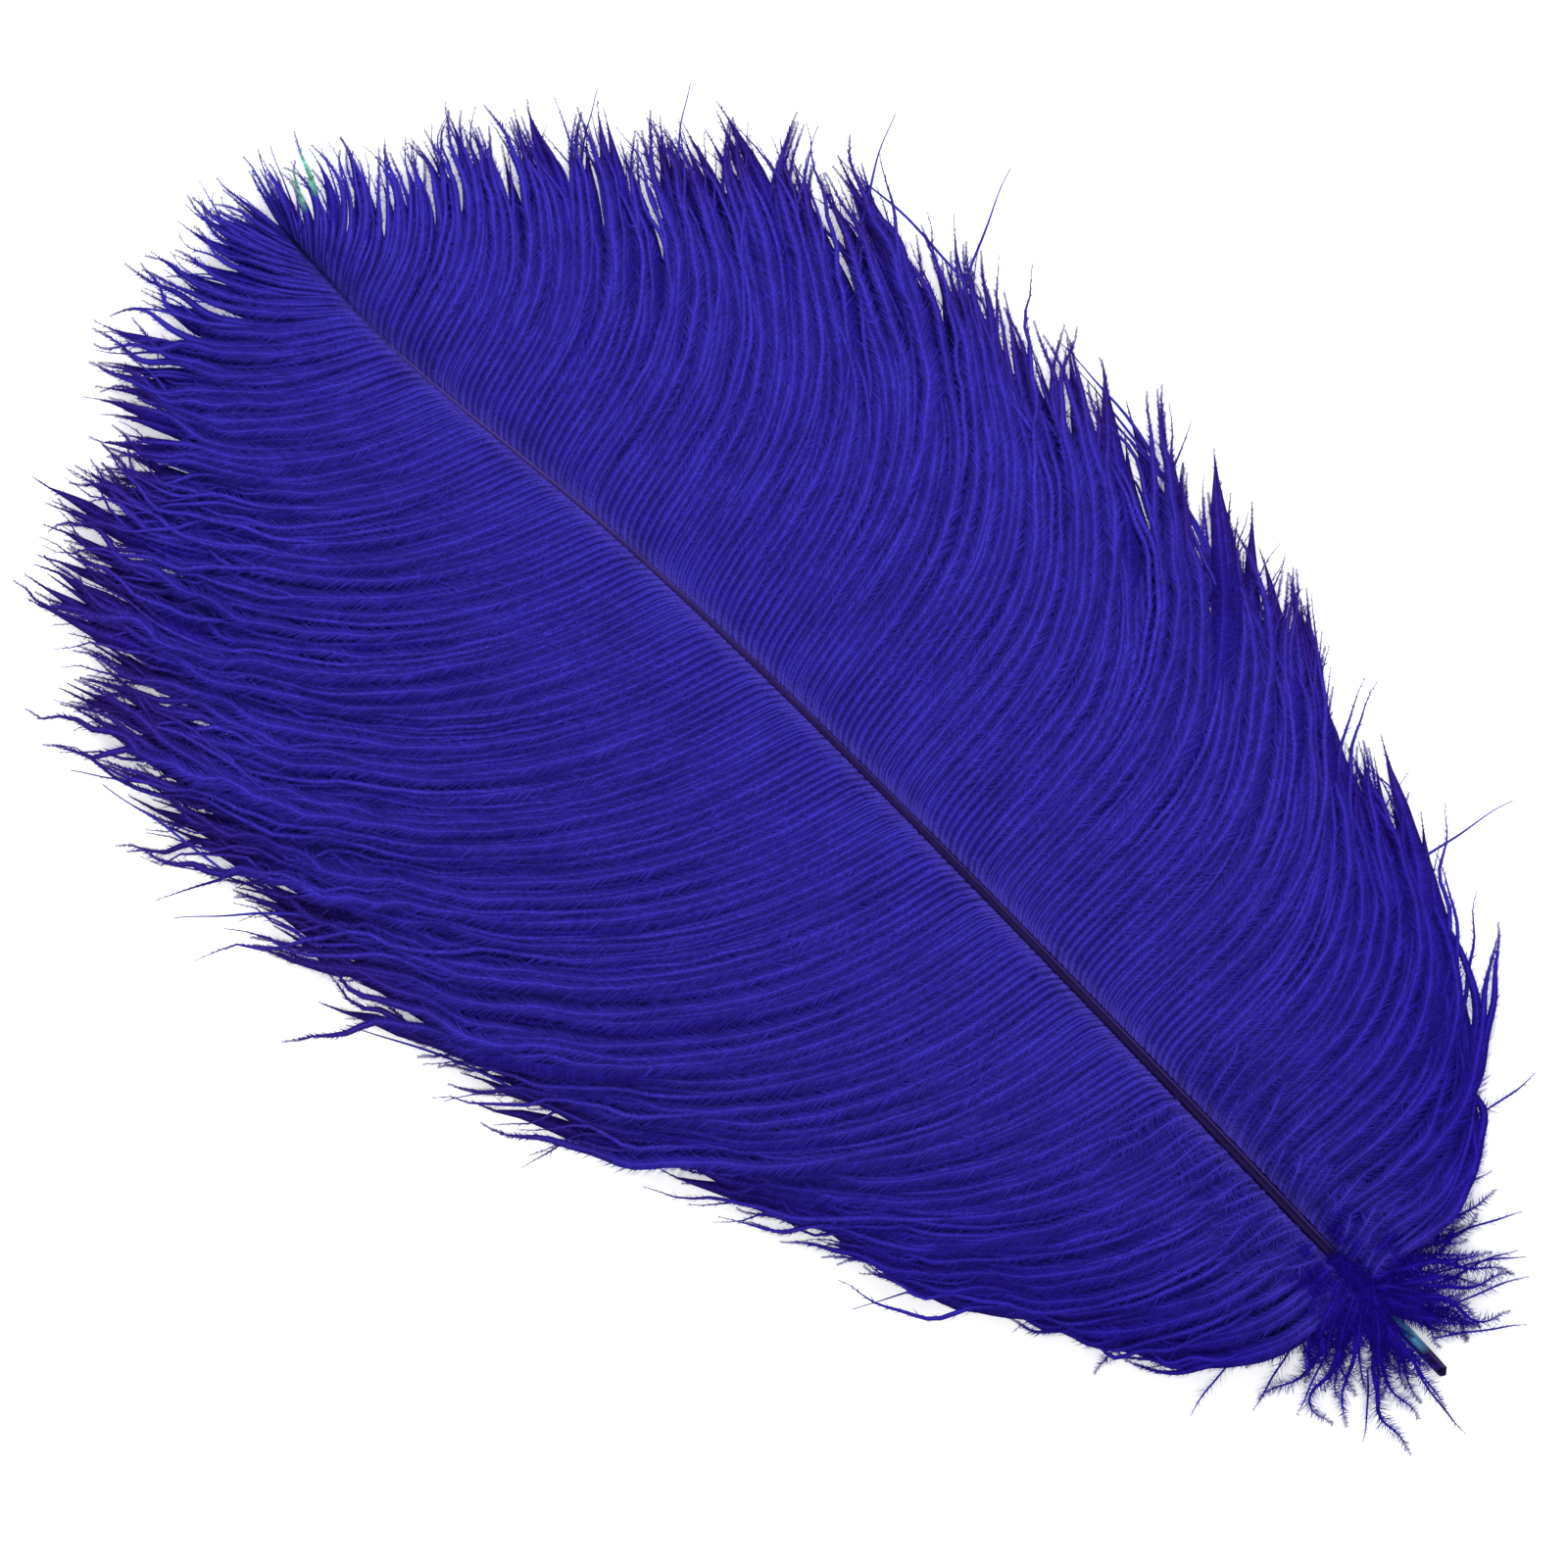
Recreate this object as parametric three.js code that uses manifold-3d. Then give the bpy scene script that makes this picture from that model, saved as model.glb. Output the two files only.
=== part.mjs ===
// Ostrich plume, dyed royal blue, lying flat with its rounded side up
// Millimetres, +Z up, +X along the shaft from the cut quill end to the tip, +Y its left side seen from above
// A feather grows as one piece: each vane is a row of locks of barbs, fused to the shaft that carries them

import * as THREE from 'three';
import { mergeVertices } from 'three/addons/utils/BufferGeometryUtils.js';
import Module from 'manifold-3d';

// Shaft: each profile is a short list of [share of the shaft's length, value]
const SHAFT_LENGTH = 380;
const SHAFT_SIDES = 8;
const SHAFT_STEPS = 20;
const SHAFT_RADIUS = [[0, 1.4], [0.08, 1.75], [0.2, 1.65], [0.6, 0.95], [1, 0.3]];
const SHAFT_BOW = [[0, 0], [0.25, -3], [0.55, -5], [0.72, -3.5], [0.9, 1.8], [1, 0]];
const SHAFT_RISE = [[0, 1.2], [0.05, 1.45], [0.12, 5], [0.25, 12], [0.5, 17], [0.8, 12.5], [1, 4]];

// Vanes, the left one first: where the barbs start on the shaft, how long they are in millimetres, and their
// direction in degrees from the shaft's own, just after they leave it and at their tips
const VANE_START = 0.068;
const VANE_END = 0.99;
const VANES = [
  {
    side: 1,
    seed: 100,
    barbLength: [[0.065, 58], [0.1, 73], [0.15, 95], [0.2, 118], [0.3, 143], [0.5, 153], [0.6, 151], [0.7, 137],
      [0.8, 114], [0.85, 97], [0.9, 76], [0.94, 55], [0.97, 38], [1, 22]],
    rootAngle: [[0.065, 100], [0.1, 92], [0.2, 74], [0.35, 78], [0.8, 80], [0.93, 70], [1, 8]],
    tipAngle: [[0.065, 30], [0.1, 34], [0.15, 36], [0.2, 28], [0.35, 28], [0.5, 30], [0.8, 38], [0.93, 42], [1, 4]],
  },
  {
    side: -1,
    seed: 500,
    barbLength: [[0.065, 66], [0.1, 83], [0.14, 100], [0.2, 118], [0.35, 136], [0.5, 135], [0.6, 124], [0.72, 98],
      [0.82, 73], [0.92, 45], [1, 20]],
    rootAngle: [[0.065, 100], [0.1, 92], [0.2, 78], [0.35, 71], [0.72, 68], [0.85, 60], [0.95, 38], [1, 8]],
    tipAngle: [[0.065, 32], [0.1, 34], [0.2, 30], [0.35, 26], [0.72, 28], [0.85, 26], [0.95, 14], [1, 4]],
  },
];
const BEND_POWER = 1.2;
const TIP_HEIGHT = 0;
const TIP_HEIGHT_SPREAD = 2;
const VANE_CROWN = 5;
const CROWN_SCALE = 27 / 4;

// Locks: how many a side, how far each covers its neighbour, and how much they stray from the even vane
const LOCKS_A_SIDE = 30;
const LOCK_SIDES = 4;
const LOCK_STEPS = 8;
const PATH_STEPS = 48;
const LOCK_COVER = 1.28;
const LOCK_LEAST_WIDTH = 5;
const LOCK_THICKNESS = 2.1;
const LOCK_POINT_START = 0.62;
const LOCK_POINT_POWER = 1.5;
const LOCK_EDGE_POWER = 0.5;
const LOCK_ROLL = 7;
const LOCK_PLACE_SPREAD = 0.16;
const LOCK_LENGTH_SPREAD = 0.06;
const LOCK_TURN_SPREAD = 3;
const LOCK_WAVE = 5;
const LOCK_WAVE_TURNS = 1.2;
const LOCK_ROOT_DROP = 0.5;

// Wisp: one narrow lock of the right vane that bends less than the others and stands out past its edge
const WISP = { side: -1, place: 0.56, length: 136, rootAngle: 70, tipAngle: 60 };
const WISP_WIDTH = 4;
const WISP_THICKNESS = 1.2;

// Down: short loose locks round the foot of the vanes, the first swept back beside the quill
const DOWN_A_SIDE = 6;
const DOWN_START = 0.062;
const DOWN_END = 0.105;
const DOWN_BACKWARD = 164;
const DOWN_FORWARD = 84;
const DOWN_LENGTH = 38;
const DOWN_LENGTH_SPREAD = 0.3;
const DOWN_CROWN = 2;
const DOWN_TURN_SPREAD = 4;
const DOWN_CURL = 18;
const DOWN_WIDTH = 7;
const DOWN_THICKNESS = 2.4;
const DOWN_SEED = 900;
const DOWN_SIDE_SEED = 50;

// Surface the plume lies on: what would reach below it is cut off flat
const FLOOR_SIZE = 900;
const FLOOR_DEPTH = 50;

// Numbers that only look random: what the sine is stretched by, and how far apart the seeds of two locks lie
const CHANCE_STEP = 12.9898;
const CHANCE_START = 4.1414;
const CHANCE_STRETCH = 43758.5453;
const LOCK_SEED_STEP = 7;

// Closest that two vertices may lie, and the shaft's step over which its direction is read
const WELD = 1e-4;
const HEADING_STEP = 0.002;

const wasm = await Module();
wasm.setup();

const material = new THREE.MeshStandardMaterial({
  name: 'plume',
  color: new THREE.Color().setRGB(0.165, 0.125, 0.545, THREE.SRGBColorSpace),
  roughness: 0.75,
  metalness: 0,
});

// A number from 0 to 1 that is the same for the same n each time
function chance(n) {
  const value = Math.sin(n * CHANCE_STEP + CHANCE_START) * CHANCE_STRETCH;
  return value - Math.floor(value);
}

// The same, from -1 to 1
function stray(n) {
  return 2 * chance(n) - 1;
}

// Smooth curve through a list of [place, value], read at one place
function through(knots, place) {
  const last = knots.length - 1;
  const at = Math.min(Math.max(place, knots[0][0]), knots[last][0]);
  let i = 0;
  while (i < last - 1 && at > knots[i + 1][0]) {
    i += 1;
  }
  const slope = (k) => {
    const before = knots[Math.max(k - 1, 0)];
    const after = knots[Math.min(k + 1, last)];
    return (after[1] - before[1]) / (after[0] - before[0]);
  };
  const gap = knots[i + 1][0] - knots[i][0];
  const f = (at - knots[i][0]) / gap;
  const f2 = f * f;
  const f3 = f2 * f;
  return (2 * f3 - 3 * f2 + 1) * knots[i][1] + (f3 - 2 * f2 + f) * gap * slope(i)
    + (3 * f2 - 2 * f3) * knots[i + 1][1] + (f3 - f2) * gap * slope(i + 1);
}

// Middle of the shaft at a share of its length, with the direction it runs in there, seen from above
function shaftAt(place) {
  const ahead = Math.min(place + HEADING_STEP, 1);
  const behind = Math.max(place - HEADING_STEP, 0);
  const run = (ahead - behind) * SHAFT_LENGTH;
  return {
    x: place * SHAFT_LENGTH,
    y: through(SHAFT_BOW, place),
    z: through(SHAFT_RISE, place),
    heading: Math.atan2(through(SHAFT_BOW, ahead) - through(SHAFT_BOW, behind), run),
  };
}

// Line that a lock follows: out from the shaft, bending towards the feather's tip, down to the surface
function lockPath(lock) {
  const root = shaftAt(lock.place);
  const step = lock.length / PATH_STEPS;
  const path = [];
  let x = root.x;
  let y = root.y;
  for (let i = 0; i <= PATH_STEPS; i += 1) {
    const along = i / PATH_STEPS;
    const bend = lock.rootAngle + (lock.tipAngle - lock.rootAngle) * along ** BEND_POWER;
    const wave = lock.wave * along * Math.sin(2 * Math.PI * (LOCK_WAVE_TURNS * along + lock.phase));
    const angle = THREE.MathUtils.degToRad(bend + wave);
    const heading = root.heading + lock.side * angle;
    const fall = along * along * (3 - 2 * along);
    const rootHeight = root.z - LOCK_ROOT_DROP;
    const arch = CROWN_SCALE * along * (1 - along) ** 2;
    const z = rootHeight + (lock.tipHeight - rootHeight) * fall + lock.crown * arch;
    path.push({ point: new THREE.Vector3(x, y, z), angle });
    x += Math.cos(heading) * step;
    y += Math.sin(heading) * step;
  }
  return path;
}

// Share of a lock's full width that is left at a place along it, down to nothing at its tip
function lockTaper(along) {
  const past = Math.max(0, (along - LOCK_POINT_START) / (1 - LOCK_POINT_START));
  return 1 - past ** LOCK_POINT_POWER;
}

// One lock: a four-sided cone bent along its path, wide and thin, with a ridge along its top
function lockGeometry(lock) {
  const path = lockPath(lock);
  const geometry = new THREE.ConeGeometry(1, 1, LOCK_SIDES, LOCK_STEPS);
  const position = geometry.attributes.position;
  const up = new THREE.Vector3(0, 0, 1);
  for (let i = 0; i < position.count; i += 1) {
    const along = position.getY(i) + 0.5;
    const offAxis = Math.hypot(position.getX(i), position.getZ(i)) > WELD;
    const around = Math.atan2(position.getX(i), position.getZ(i));
    const index = Math.round(along * PATH_STEPS);
    const before = path[Math.max(index - 1, 0)].point;
    const after = path[Math.min(index + 1, PATH_STEPS)].point;
    const tangent = new THREE.Vector3().subVectors(after, before).normalize();
    const across = new THREE.Vector3().crossVectors(tangent, up).normalize();
    const over = new THREE.Vector3().crossVectors(across, tangent);
    across.applyAxisAngle(tangent, lock.roll);
    over.applyAxisAngle(tangent, lock.roll);
    const halfWidth = offAxis ? 0.5 * lock.widthAt(path[index].angle) * lockTaper(along) : 0;
    const halfThickness = offAxis ? 0.5 * lock.thickness * lockTaper(along) ** LOCK_EDGE_POWER : 0;
    const point = path[index].point.clone()
      .addScaledVector(across, Math.sin(around) * halfWidth)
      .addScaledVector(over, Math.cos(around) * halfThickness);
    position.setXYZ(i, point.x, point.y, point.z);
  }
  return geometry;
}

// Locks of one vane, evenly spaced along the shaft but for a little stray
function vaneLocks(vane) {
  const gap = (VANE_END - VANE_START) / LOCKS_A_SIDE;
  const locks = [];
  for (let k = 0; k < LOCKS_A_SIDE; k += 1) {
    const n = vane.seed + k * LOCK_SEED_STEP;
    const place = VANE_START + gap * (k + 0.5 + LOCK_PLACE_SPREAD * stray(n));
    const turn = LOCK_TURN_SPREAD * stray(n + 1);
    const cover = LOCK_COVER * gap * SHAFT_LENGTH;
    locks.push({
      side: vane.side,
      place,
      length: through(vane.barbLength, place) * (1 + LOCK_LENGTH_SPREAD * stray(n + 2)),
      rootAngle: through(vane.rootAngle, place),
      tipAngle: through(vane.tipAngle, place) + turn,
      wave: LOCK_WAVE * chance(n + 3),
      phase: chance(n + 4),
      tipHeight: TIP_HEIGHT + TIP_HEIGHT_SPREAD * chance(n + 5),
      crown: VANE_CROWN,
      roll: vane.side * THREE.MathUtils.degToRad(LOCK_ROLL),
      thickness: LOCK_THICKNESS,
      widthAt: (angle) => Math.max(cover * Math.abs(Math.sin(angle)), LOCK_LEAST_WIDTH),
    });
  }
  return locks;
}

// The wisp, which lies straight and flat among the locks beside it
function wispLock() {
  return {
    ...WISP,
    wave: 0,
    phase: 0,
    tipHeight: TIP_HEIGHT,
    crown: VANE_CROWN,
    roll: 0,
    thickness: WISP_THICKNESS,
    widthAt: () => WISP_WIDTH,
  };
}

// Locks of down on one side, fanned from beside the quill to the foot of the vane
function downLocks(side) {
  const locks = [];
  for (let k = 0; k < DOWN_A_SIDE; k += 1) {
    const n = DOWN_SEED + side * DOWN_SIDE_SEED + k * LOCK_SEED_STEP;
    const share = k / (DOWN_A_SIDE - 1);
    const angle = THREE.MathUtils.lerp(DOWN_BACKWARD, DOWN_FORWARD, share) + DOWN_TURN_SPREAD * stray(n);
    locks.push({
      side,
      place: THREE.MathUtils.lerp(DOWN_START, DOWN_END, share),
      length: DOWN_LENGTH * (1 + DOWN_LENGTH_SPREAD * stray(n + 1)),
      rootAngle: angle - DOWN_CURL,
      tipAngle: angle + DOWN_CURL * stray(n + 2),
      wave: 0,
      phase: 0,
      tipHeight: TIP_HEIGHT + TIP_HEIGHT_SPREAD * chance(n + 3),
      crown: DOWN_CROWN,
      roll: 0,
      thickness: DOWN_THICKNESS,
      widthAt: () => DOWN_WIDTH,
    });
  }
  return locks;
}

// Quill and rachis in one: a tapered rod bent along the shaft's line
function shaftGeometry() {
  const geometry = new THREE.CylinderGeometry(1, 1, 1, SHAFT_SIDES, SHAFT_STEPS);
  const position = geometry.attributes.position;
  for (let i = 0; i < position.count; i += 1) {
    const along = position.getY(i) + 0.5;
    const middle = shaftAt(along);
    const radius = through(SHAFT_RADIUS, along);
    const across = new THREE.Vector3(Math.sin(middle.heading), -Math.cos(middle.heading), 0);
    const point = new THREE.Vector3(middle.x, middle.y, middle.z + position.getZ(i) * radius)
      .addScaledVector(across, position.getX(i) * radius);
    position.setXYZ(i, point.x, point.y, point.z);
  }
  return geometry;
}

// Closed geometry as a solid that can be joined and cut
function solidFrom(geometry) {
  geometry.deleteAttribute('normal');
  geometry.deleteAttribute('uv');
  const merged = mergeVertices(geometry, WELD);
  const mesh = new wasm.Mesh({
    numProp: 3,
    vertProperties: new Float32Array(merged.attributes.position.array),
    triVerts: new Uint32Array(merged.index.array),
  });
  return new wasm.Manifold(mesh);
}

// The floor's own solid, whose top is the surface the plume lies on
function floorSolid() {
  const floor = new THREE.BoxGeometry(2 * FLOOR_SIZE, FLOOR_SIZE, FLOOR_DEPTH);
  floor.translate(SHAFT_LENGTH / 2, 0, -FLOOR_DEPTH / 2);
  return solidFrom(floor);
}

// Triangles of the shell that holds most of them, which leaves out pockets closed in between crossing locks
function outerSkin(triangles, vertexCount) {
  const group = Array.from({ length: vertexCount }, (_, i) => i);
  const groupOf = (vertex) => {
    let first = vertex;
    while (group[first] !== first) {
      first = group[first];
    }
    group[vertex] = first;
    return first;
  };
  for (let i = 0; i < triangles.length; i += 3) {
    group[groupOf(triangles[i + 1])] = groupOf(triangles[i]);
    group[groupOf(triangles[i + 2])] = groupOf(triangles[i]);
  }
  const shells = new Map();
  for (let i = 0; i < triangles.length; i += 3) {
    const shell = shells.get(groupOf(triangles[i])) ?? [];
    shell.push(triangles[i], triangles[i + 1], triangles[i + 2]);
    shells.set(groupOf(triangles[i]), shell);
  }
  return [...shells.values()].reduce((most, shell) => (shell.length > most.length ? shell : most));
}

// Solid back to geometry, moved so that its box stands on the origin by the middle of its base
function geometryFrom(solid) {
  const mesh = solid.getMesh();
  const geometry = new THREE.BufferGeometry();
  geometry.setAttribute('position', new THREE.BufferAttribute(new Float32Array(mesh.vertProperties), 3));
  geometry.setIndex(outerSkin(mesh.triVerts, mesh.numVert));
  geometry.computeBoundingBox();
  const { min, max } = geometry.boundingBox;
  geometry.translate(-(min.x + max.x) / 2, -(min.y + max.y) / 2, -min.z);
  geometry.computeVertexNormals();
  return geometry;
}

function featherGeometry() {
  let feather = solidFrom(shaftGeometry());
  const locks = [...VANES.flatMap(vaneLocks), wispLock(), ...downLocks(1), ...downLocks(-1)];
  for (const lock of locks) {
    feather = feather.add(solidFrom(lockGeometry(lock)));
  }
  return geometryFrom(feather.subtract(floorSolid()));
}

const plume = new THREE.Group();
const feather = new THREE.Mesh(featherGeometry(), material);
feather.name = 'ostrich_feather';
plume.add(feather);

export default plume;
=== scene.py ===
"""Ostrich plume, dyed royal blue, lying on a pale floor and seen from straight above."""

import bpy
import numpy as np
from bpy.props import FloatProperty, FloatVectorProperty, IntProperty, PointerProperty
from mathutils import Matrix, Vector


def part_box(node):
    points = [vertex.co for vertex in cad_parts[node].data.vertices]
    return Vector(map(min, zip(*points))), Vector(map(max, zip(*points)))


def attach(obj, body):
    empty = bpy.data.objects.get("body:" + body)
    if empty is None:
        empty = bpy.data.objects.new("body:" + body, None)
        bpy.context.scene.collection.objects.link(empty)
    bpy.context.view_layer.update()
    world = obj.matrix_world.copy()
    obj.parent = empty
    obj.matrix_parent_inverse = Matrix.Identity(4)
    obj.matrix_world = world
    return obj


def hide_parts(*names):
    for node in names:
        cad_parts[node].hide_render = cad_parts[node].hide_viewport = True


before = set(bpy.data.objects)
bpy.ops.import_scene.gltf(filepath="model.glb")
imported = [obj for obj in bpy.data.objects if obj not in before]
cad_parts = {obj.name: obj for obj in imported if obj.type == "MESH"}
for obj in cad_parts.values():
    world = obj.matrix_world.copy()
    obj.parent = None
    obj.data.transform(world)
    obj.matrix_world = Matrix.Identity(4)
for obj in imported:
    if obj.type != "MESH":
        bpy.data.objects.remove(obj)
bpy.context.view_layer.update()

bl_info = {
    "name": "Ostrich plume",
    "version": (1, 0, 0),
    "blender": (4, 5, 0),
    "location": "3D View > Sidebar > Plume",
    "description": "Dresses the solid feather with its quill, barbs, down and stray barbs",
    "category": "Add Mesh",
}

BARB_MATERIAL = "dyed_barbs"
FEATHER = "ostrich_feather"
LOW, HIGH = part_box(FEATHER)
MM = 0.001

# Where the quill's cut end lies, from the low corner of the solid's box
QUILL_INSET = 9.75 * MM
RIGHT_VANE_REACH = 128.65 * MM
QUILL_END = Vector((LOW.x + QUILL_INSET, LOW.y + RIGHT_VANE_REACH, 0))

# Shaft, as in the solid: each profile is a short list of (share of the shaft's length, millimetres)
SHAFT_LENGTH = 380
SHAFT_RADIUS = ((0, 1.4), (0.08, 1.75), (0.2, 1.65), (0.6, 0.95), (1, 0.3))
SHAFT_BOW = ((0, 0), (0.25, -3), (0.55, -5), (0.72, -3.5), (0.9, 1.8), (1, 0))
SHAFT_RISE = ((0, 1.2), (0.05, 1.45), (0.12, 5), (0.25, 12), (0.5, 17), (0.8, 12.5), (1, 4))
SHAFT_STEPS = 160
SHAFT_SIDES = 20
BORE_DEPTH = 5
BORE_SHARE = 0.72
CUT_RAGGED = 0.25
CUT_SLANT = 2.2

# Vanes, which lie between two shares of the shaft. The bends give the share of a barb's turn that is done at
# each share of its length. Each vane has the length of its barbs in millimetres and their directions off the
# shaft's near the root and at the tip in degrees, all by place along the shaft. Then come how much they bend
# late, how their outer part swings and their ends flick in degrees, how they ripple, cross and curl, and over
# which last millimetres they gather.
VANE_START = 0.068
VANE_END = 0.99
EVEN_BEND = ((0, 0), (0.3, 0.34), (0.8, 0.95), (1, 1))
LATE_BEND = ((0, 0), (0.2, 0), (0.33, 0.1), (0.47, 0.4), (0.63, 0.73), (0.8, 0.95), (1, 1))
VANES = {
    "left": {
        "side": 1,
        "seed": 100,
        "length": ((0.065, 60), (0.1, 78), (0.15, 103), (0.2, 125), (0.28, 141), (0.36, 166), (0.44, 183),
                   (0.5, 183), (0.55, 177), (0.67, 151), (0.75, 124), (0.8, 105), (0.86, 84), (0.91, 63),
                   (0.96, 33), (1, 12)),
        "root": ((0.065, 100), (0.1, 94), (0.15, 88), (0.2, 84), (0.3, 88), (0.36, 88), (0.44, 82),
                 (0.55, 79), (0.67, 76), (0.75, 72), (0.86, 72), (0.93, 62), (1, 8)),
        "tip": ((0.065, 36), (0.1, 36), (0.15, 32), (0.2, 28), (0.3, 28), (0.36, 26), (0.44, 20),
                (0.55, 17), (0.67, 18), (0.75, 15), (0.86, 22), (0.93, 20), (1, 4)),
        "late": 0,
        "swing": ((0.065, -12), (0.2, -6), (0.35, 0), (1, 0)),
        "swing_stray": 7,
        "flick": 32,
        "ripple": 17,
        "cross": 0.28,
        "curl": 4,
        "gather": (14, 36),
    },
    "right": {
        "side": -1,
        "seed": 500,
        "length": ((0.065, 68), (0.1, 88), (0.14, 103), (0.2, 110), (0.25, 113), (0.33, 123), (0.42, 132),
                   (0.5, 131), (0.59, 128), (0.67, 116), (0.75, 96), (0.83, 74), (0.9, 53), (0.95, 35),
                   (1, 14)),
        "root": ((0.065, 100), (0.1, 96), (0.14, 94), (0.2, 90), (0.33, 90), (0.42, 86), (0.5, 84),
                 (0.59, 80), (0.67, 80), (0.75, 84), (0.83, 82), (0.9, 78), (0.95, 60), (1, 8)),
        "tip": ((0.065, 34), (0.1, 36), (0.2, 32), (0.33, 36), (0.42, 26), (0.5, 24), (0.59, 22), (0.67, 24),
                (0.75, 34), (0.83, 32), (0.9, 30), (0.95, 20), (1, 4)),
        "late": 1,
        "swing": ((0.065, -14), (0.15, -10), (0.3, 0), (1, 0)),
        "swing_stray": 8,
        "flick": 42,
        "ripple": 7,
        "cross": 0.15,
        "curl": 1,
        "gather": (12, 30),
    },
}
VANE_CROWN = 5
CROWN_SCALE = 27 / 4
TIP_HEIGHT = 0.3
TIP_HEIGHT_SPREAD = 2

# Zones of a vane, each as wide as a lock of the solid: the barbs of a zone share part of their stray
LOCKS_A_SIDE = 30
LOCK_LENGTH_SPREAD = 0.06
LOCK_TURN_SPREAD = 3
LOCK_WAVE = 5
LOCK_WAVE_TURNS = 1.2

# Barbs: where they start in shares of the shaft's radius, how they leave it, and how they wave in millimetres
ROOT_ASIDE = 0.6
ROOT_RISE = 0.35
HOOK_ANGLE = 30
HOOK_LENGTH = 3.4
RIPPLE_LENGTH = 34
FLUTTER_LENGTH = 15
FLUTTER_START = (4, 30)
BARB_PLACE_SPREAD = 0.16
LOOSE_END = 0.24

# Shares of a barb's length between which each kind of bend comes in
RIPPLE_ZONE = (0.35, 0.85)
CURL_ZONE = (0.5, 0.85)
SWING_ZONE = (0.45, 1)
FLICK_ZONE = (0.78, 1)

# Tufts that barbs gather into at the edge of the vane: barbs in each, their differences, and their heights
TUFT_SMALLEST = 2
TUFT_MORE = 4
TUFT_STRETCH_SPREAD = 0.03
TUFT_TURN_SPREAD = 2
TUFT_LIFT = 2
RIDGE_HEIGHT = 1.5
SWAY_HEIGHT = 0.5
SWAY_TURNS = 1.7

# Free barbs, which join no tuft: how many more the left vane has, and their waves and swing in degrees
FREE_MORE_LEFT = 0.15
FREE_WAVE = 6
FREE_WAVE_TURNS = 1.6
BARB_SWING = 4
FREE_SWING_MORE = 12

# Rows of the lowest barbs whose outer half is coloured as dark as the down, carrying its painted shade onto
# the foot
FOOT_ROWS = 44

# Lowest that any point lies above the surface, in millimetres
CLEARANCE = 0.05

# Layers of barbs in a vane: those on top, broad ones below that show in the gaps, and between the two fine
# free ones that fill the edge. Each has its seed, its steps along a barb, its height over the top layer in
# millimetres, the stray of its barbs' directions in degrees and its share of free barbs. The rest are factors
# for the length, the shared stray, the waves, the webs, the barbule gap and the length of the taper.
LAYERS = {
    "top": {"seed": 0, "steps": 46, "lift": 0, "stretch": 1, "share_stray": 0.35, "turn": 2, "free": 0.3,
            "sway": 1, "web": 1, "gap": 1, "taper": 1},
    "under": {"seed": 4000, "steps": 26, "lift": -1.3, "stretch": 0.99, "share_stray": 0.15, "turn": 1.5,
              "free": 1, "sway": 0.35, "web": 2.4, "gap": 3.4, "taper": 1.15},
    "fringe": {"seed": 8000, "steps": 34, "lift": -0.4, "stretch": 0.985, "share_stray": 0.3, "turn": 3,
               "free": 1, "sway": 1.15, "web": 0.55, "gap": 7, "taper": 1},
}

# Map of a piece: a row for each barb, the root zone first along the row, ribbon and barbules across it
MAP_NAME = "OFBake"
MAP_MARGIN = 0.005
ROWS = 100
ROOT_ZONE = 15
ROOT_SHARE = 0.15
RIBBON_BAND = 0.22
BARBULE_BAND = (0.27, 0.46)

# Down: short loose locks round the foot of the vanes
DOWN_A_SIDE = 6
DOWN_START = 0.062
DOWN_END = 0.105
DOWN_BACKWARD = 164
DOWN_FORWARD = 84
DOWN_LENGTH = 38
DOWN_LENGTH_SPREAD = 0.3
DOWN_TURN_SPREAD = 4
DOWN_CURL = 18
DOWN_CROWN = 2
DOWN_SEED = 900

# Curls over the foot of the vanes, as shares of the shaft, and down across the rachis' foot, in millimetres
CURLS_START = 0.07
CURLS_END = 0.24
CURLS_LIFT = 0.9
COVER_BARBS = 46
COVER_START = 24
COVER_END = 38

# Last barbs, which close the tip: how many, and over which shares of the shaft they start
TIP_BARBS = 26
TIP_SEED = 40
TIP_START = 0.955
TIP_SPAN = 0.043

# Steps along the barbs of the smaller pieces
FAN_STEPS = 20
LOOSE_STEPS = 24
COVER_STEPS = 16
STRAY_STEPS = 40

# Spikes of down that stand out past the rest: x, y and heading where each starts, its length and its curl
DOWN_SPIKES = (
    (38, -46, -108, 19, 14), (30, -22, -92, 20, -20), (24, -18, -106, 24, -18), (19, -14, -116, 23, -16),
    (12, -8, -106, 24, -14), (8, -4, -122, 22, -10), (6, 4, 164, 19, 16), (38, 30, 88, 19, 16),
    (44, 33, 74, 18, -18), (23, 17, 104, 15, 10), (30, 21, 98, 17, 10), (27, -30, -84, 16, 24),
    (15, -16, -98, 18, -26), (14, 12, 138, 17, -14),
)

# Stray barbs over and past the vanes' edges: x, y and heading where each starts, its length and its curl
STRAY_BARBS = (
    (252, -92, -58, 41, -14), (280, -88, -54, 36, -12), (140, -80, -36, 92, 38), (143, -81, -35, 84, 36),
    (147, -84, -33, 70, 28), (139, -78, -35, 78, 31), (145, -82, -36, 62, 30), (150, -85, -34, 50, 24),
    (196, -104, -14, 38, 16), (252, -102, -6, 48, 10), (256, 100, 24, 50, 16),
    (262, 108, 40, 34, 12), (302, 108, 30, 30, 8), (312, 110, 8, 26, -14), (284, 116, 6, 36, 6),
    (370, -2, -12, 28, -18), (372, 2, -14, 28, -20), (370, 10, 26, 28, 22), (322, -72, -44, 24, -16),
    (340, -58, -50, 20, -14), (296, -84, -56, 24, -6), (190, 92, 40, 34, 24), (92, 62, 40, 30, 30),
    (90, -72, -98, 35, -8), (176, 92, 14, 96, -8), (160, 90, 18, 86, 6), (74, 52, 26, 80, -6),
)
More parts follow.
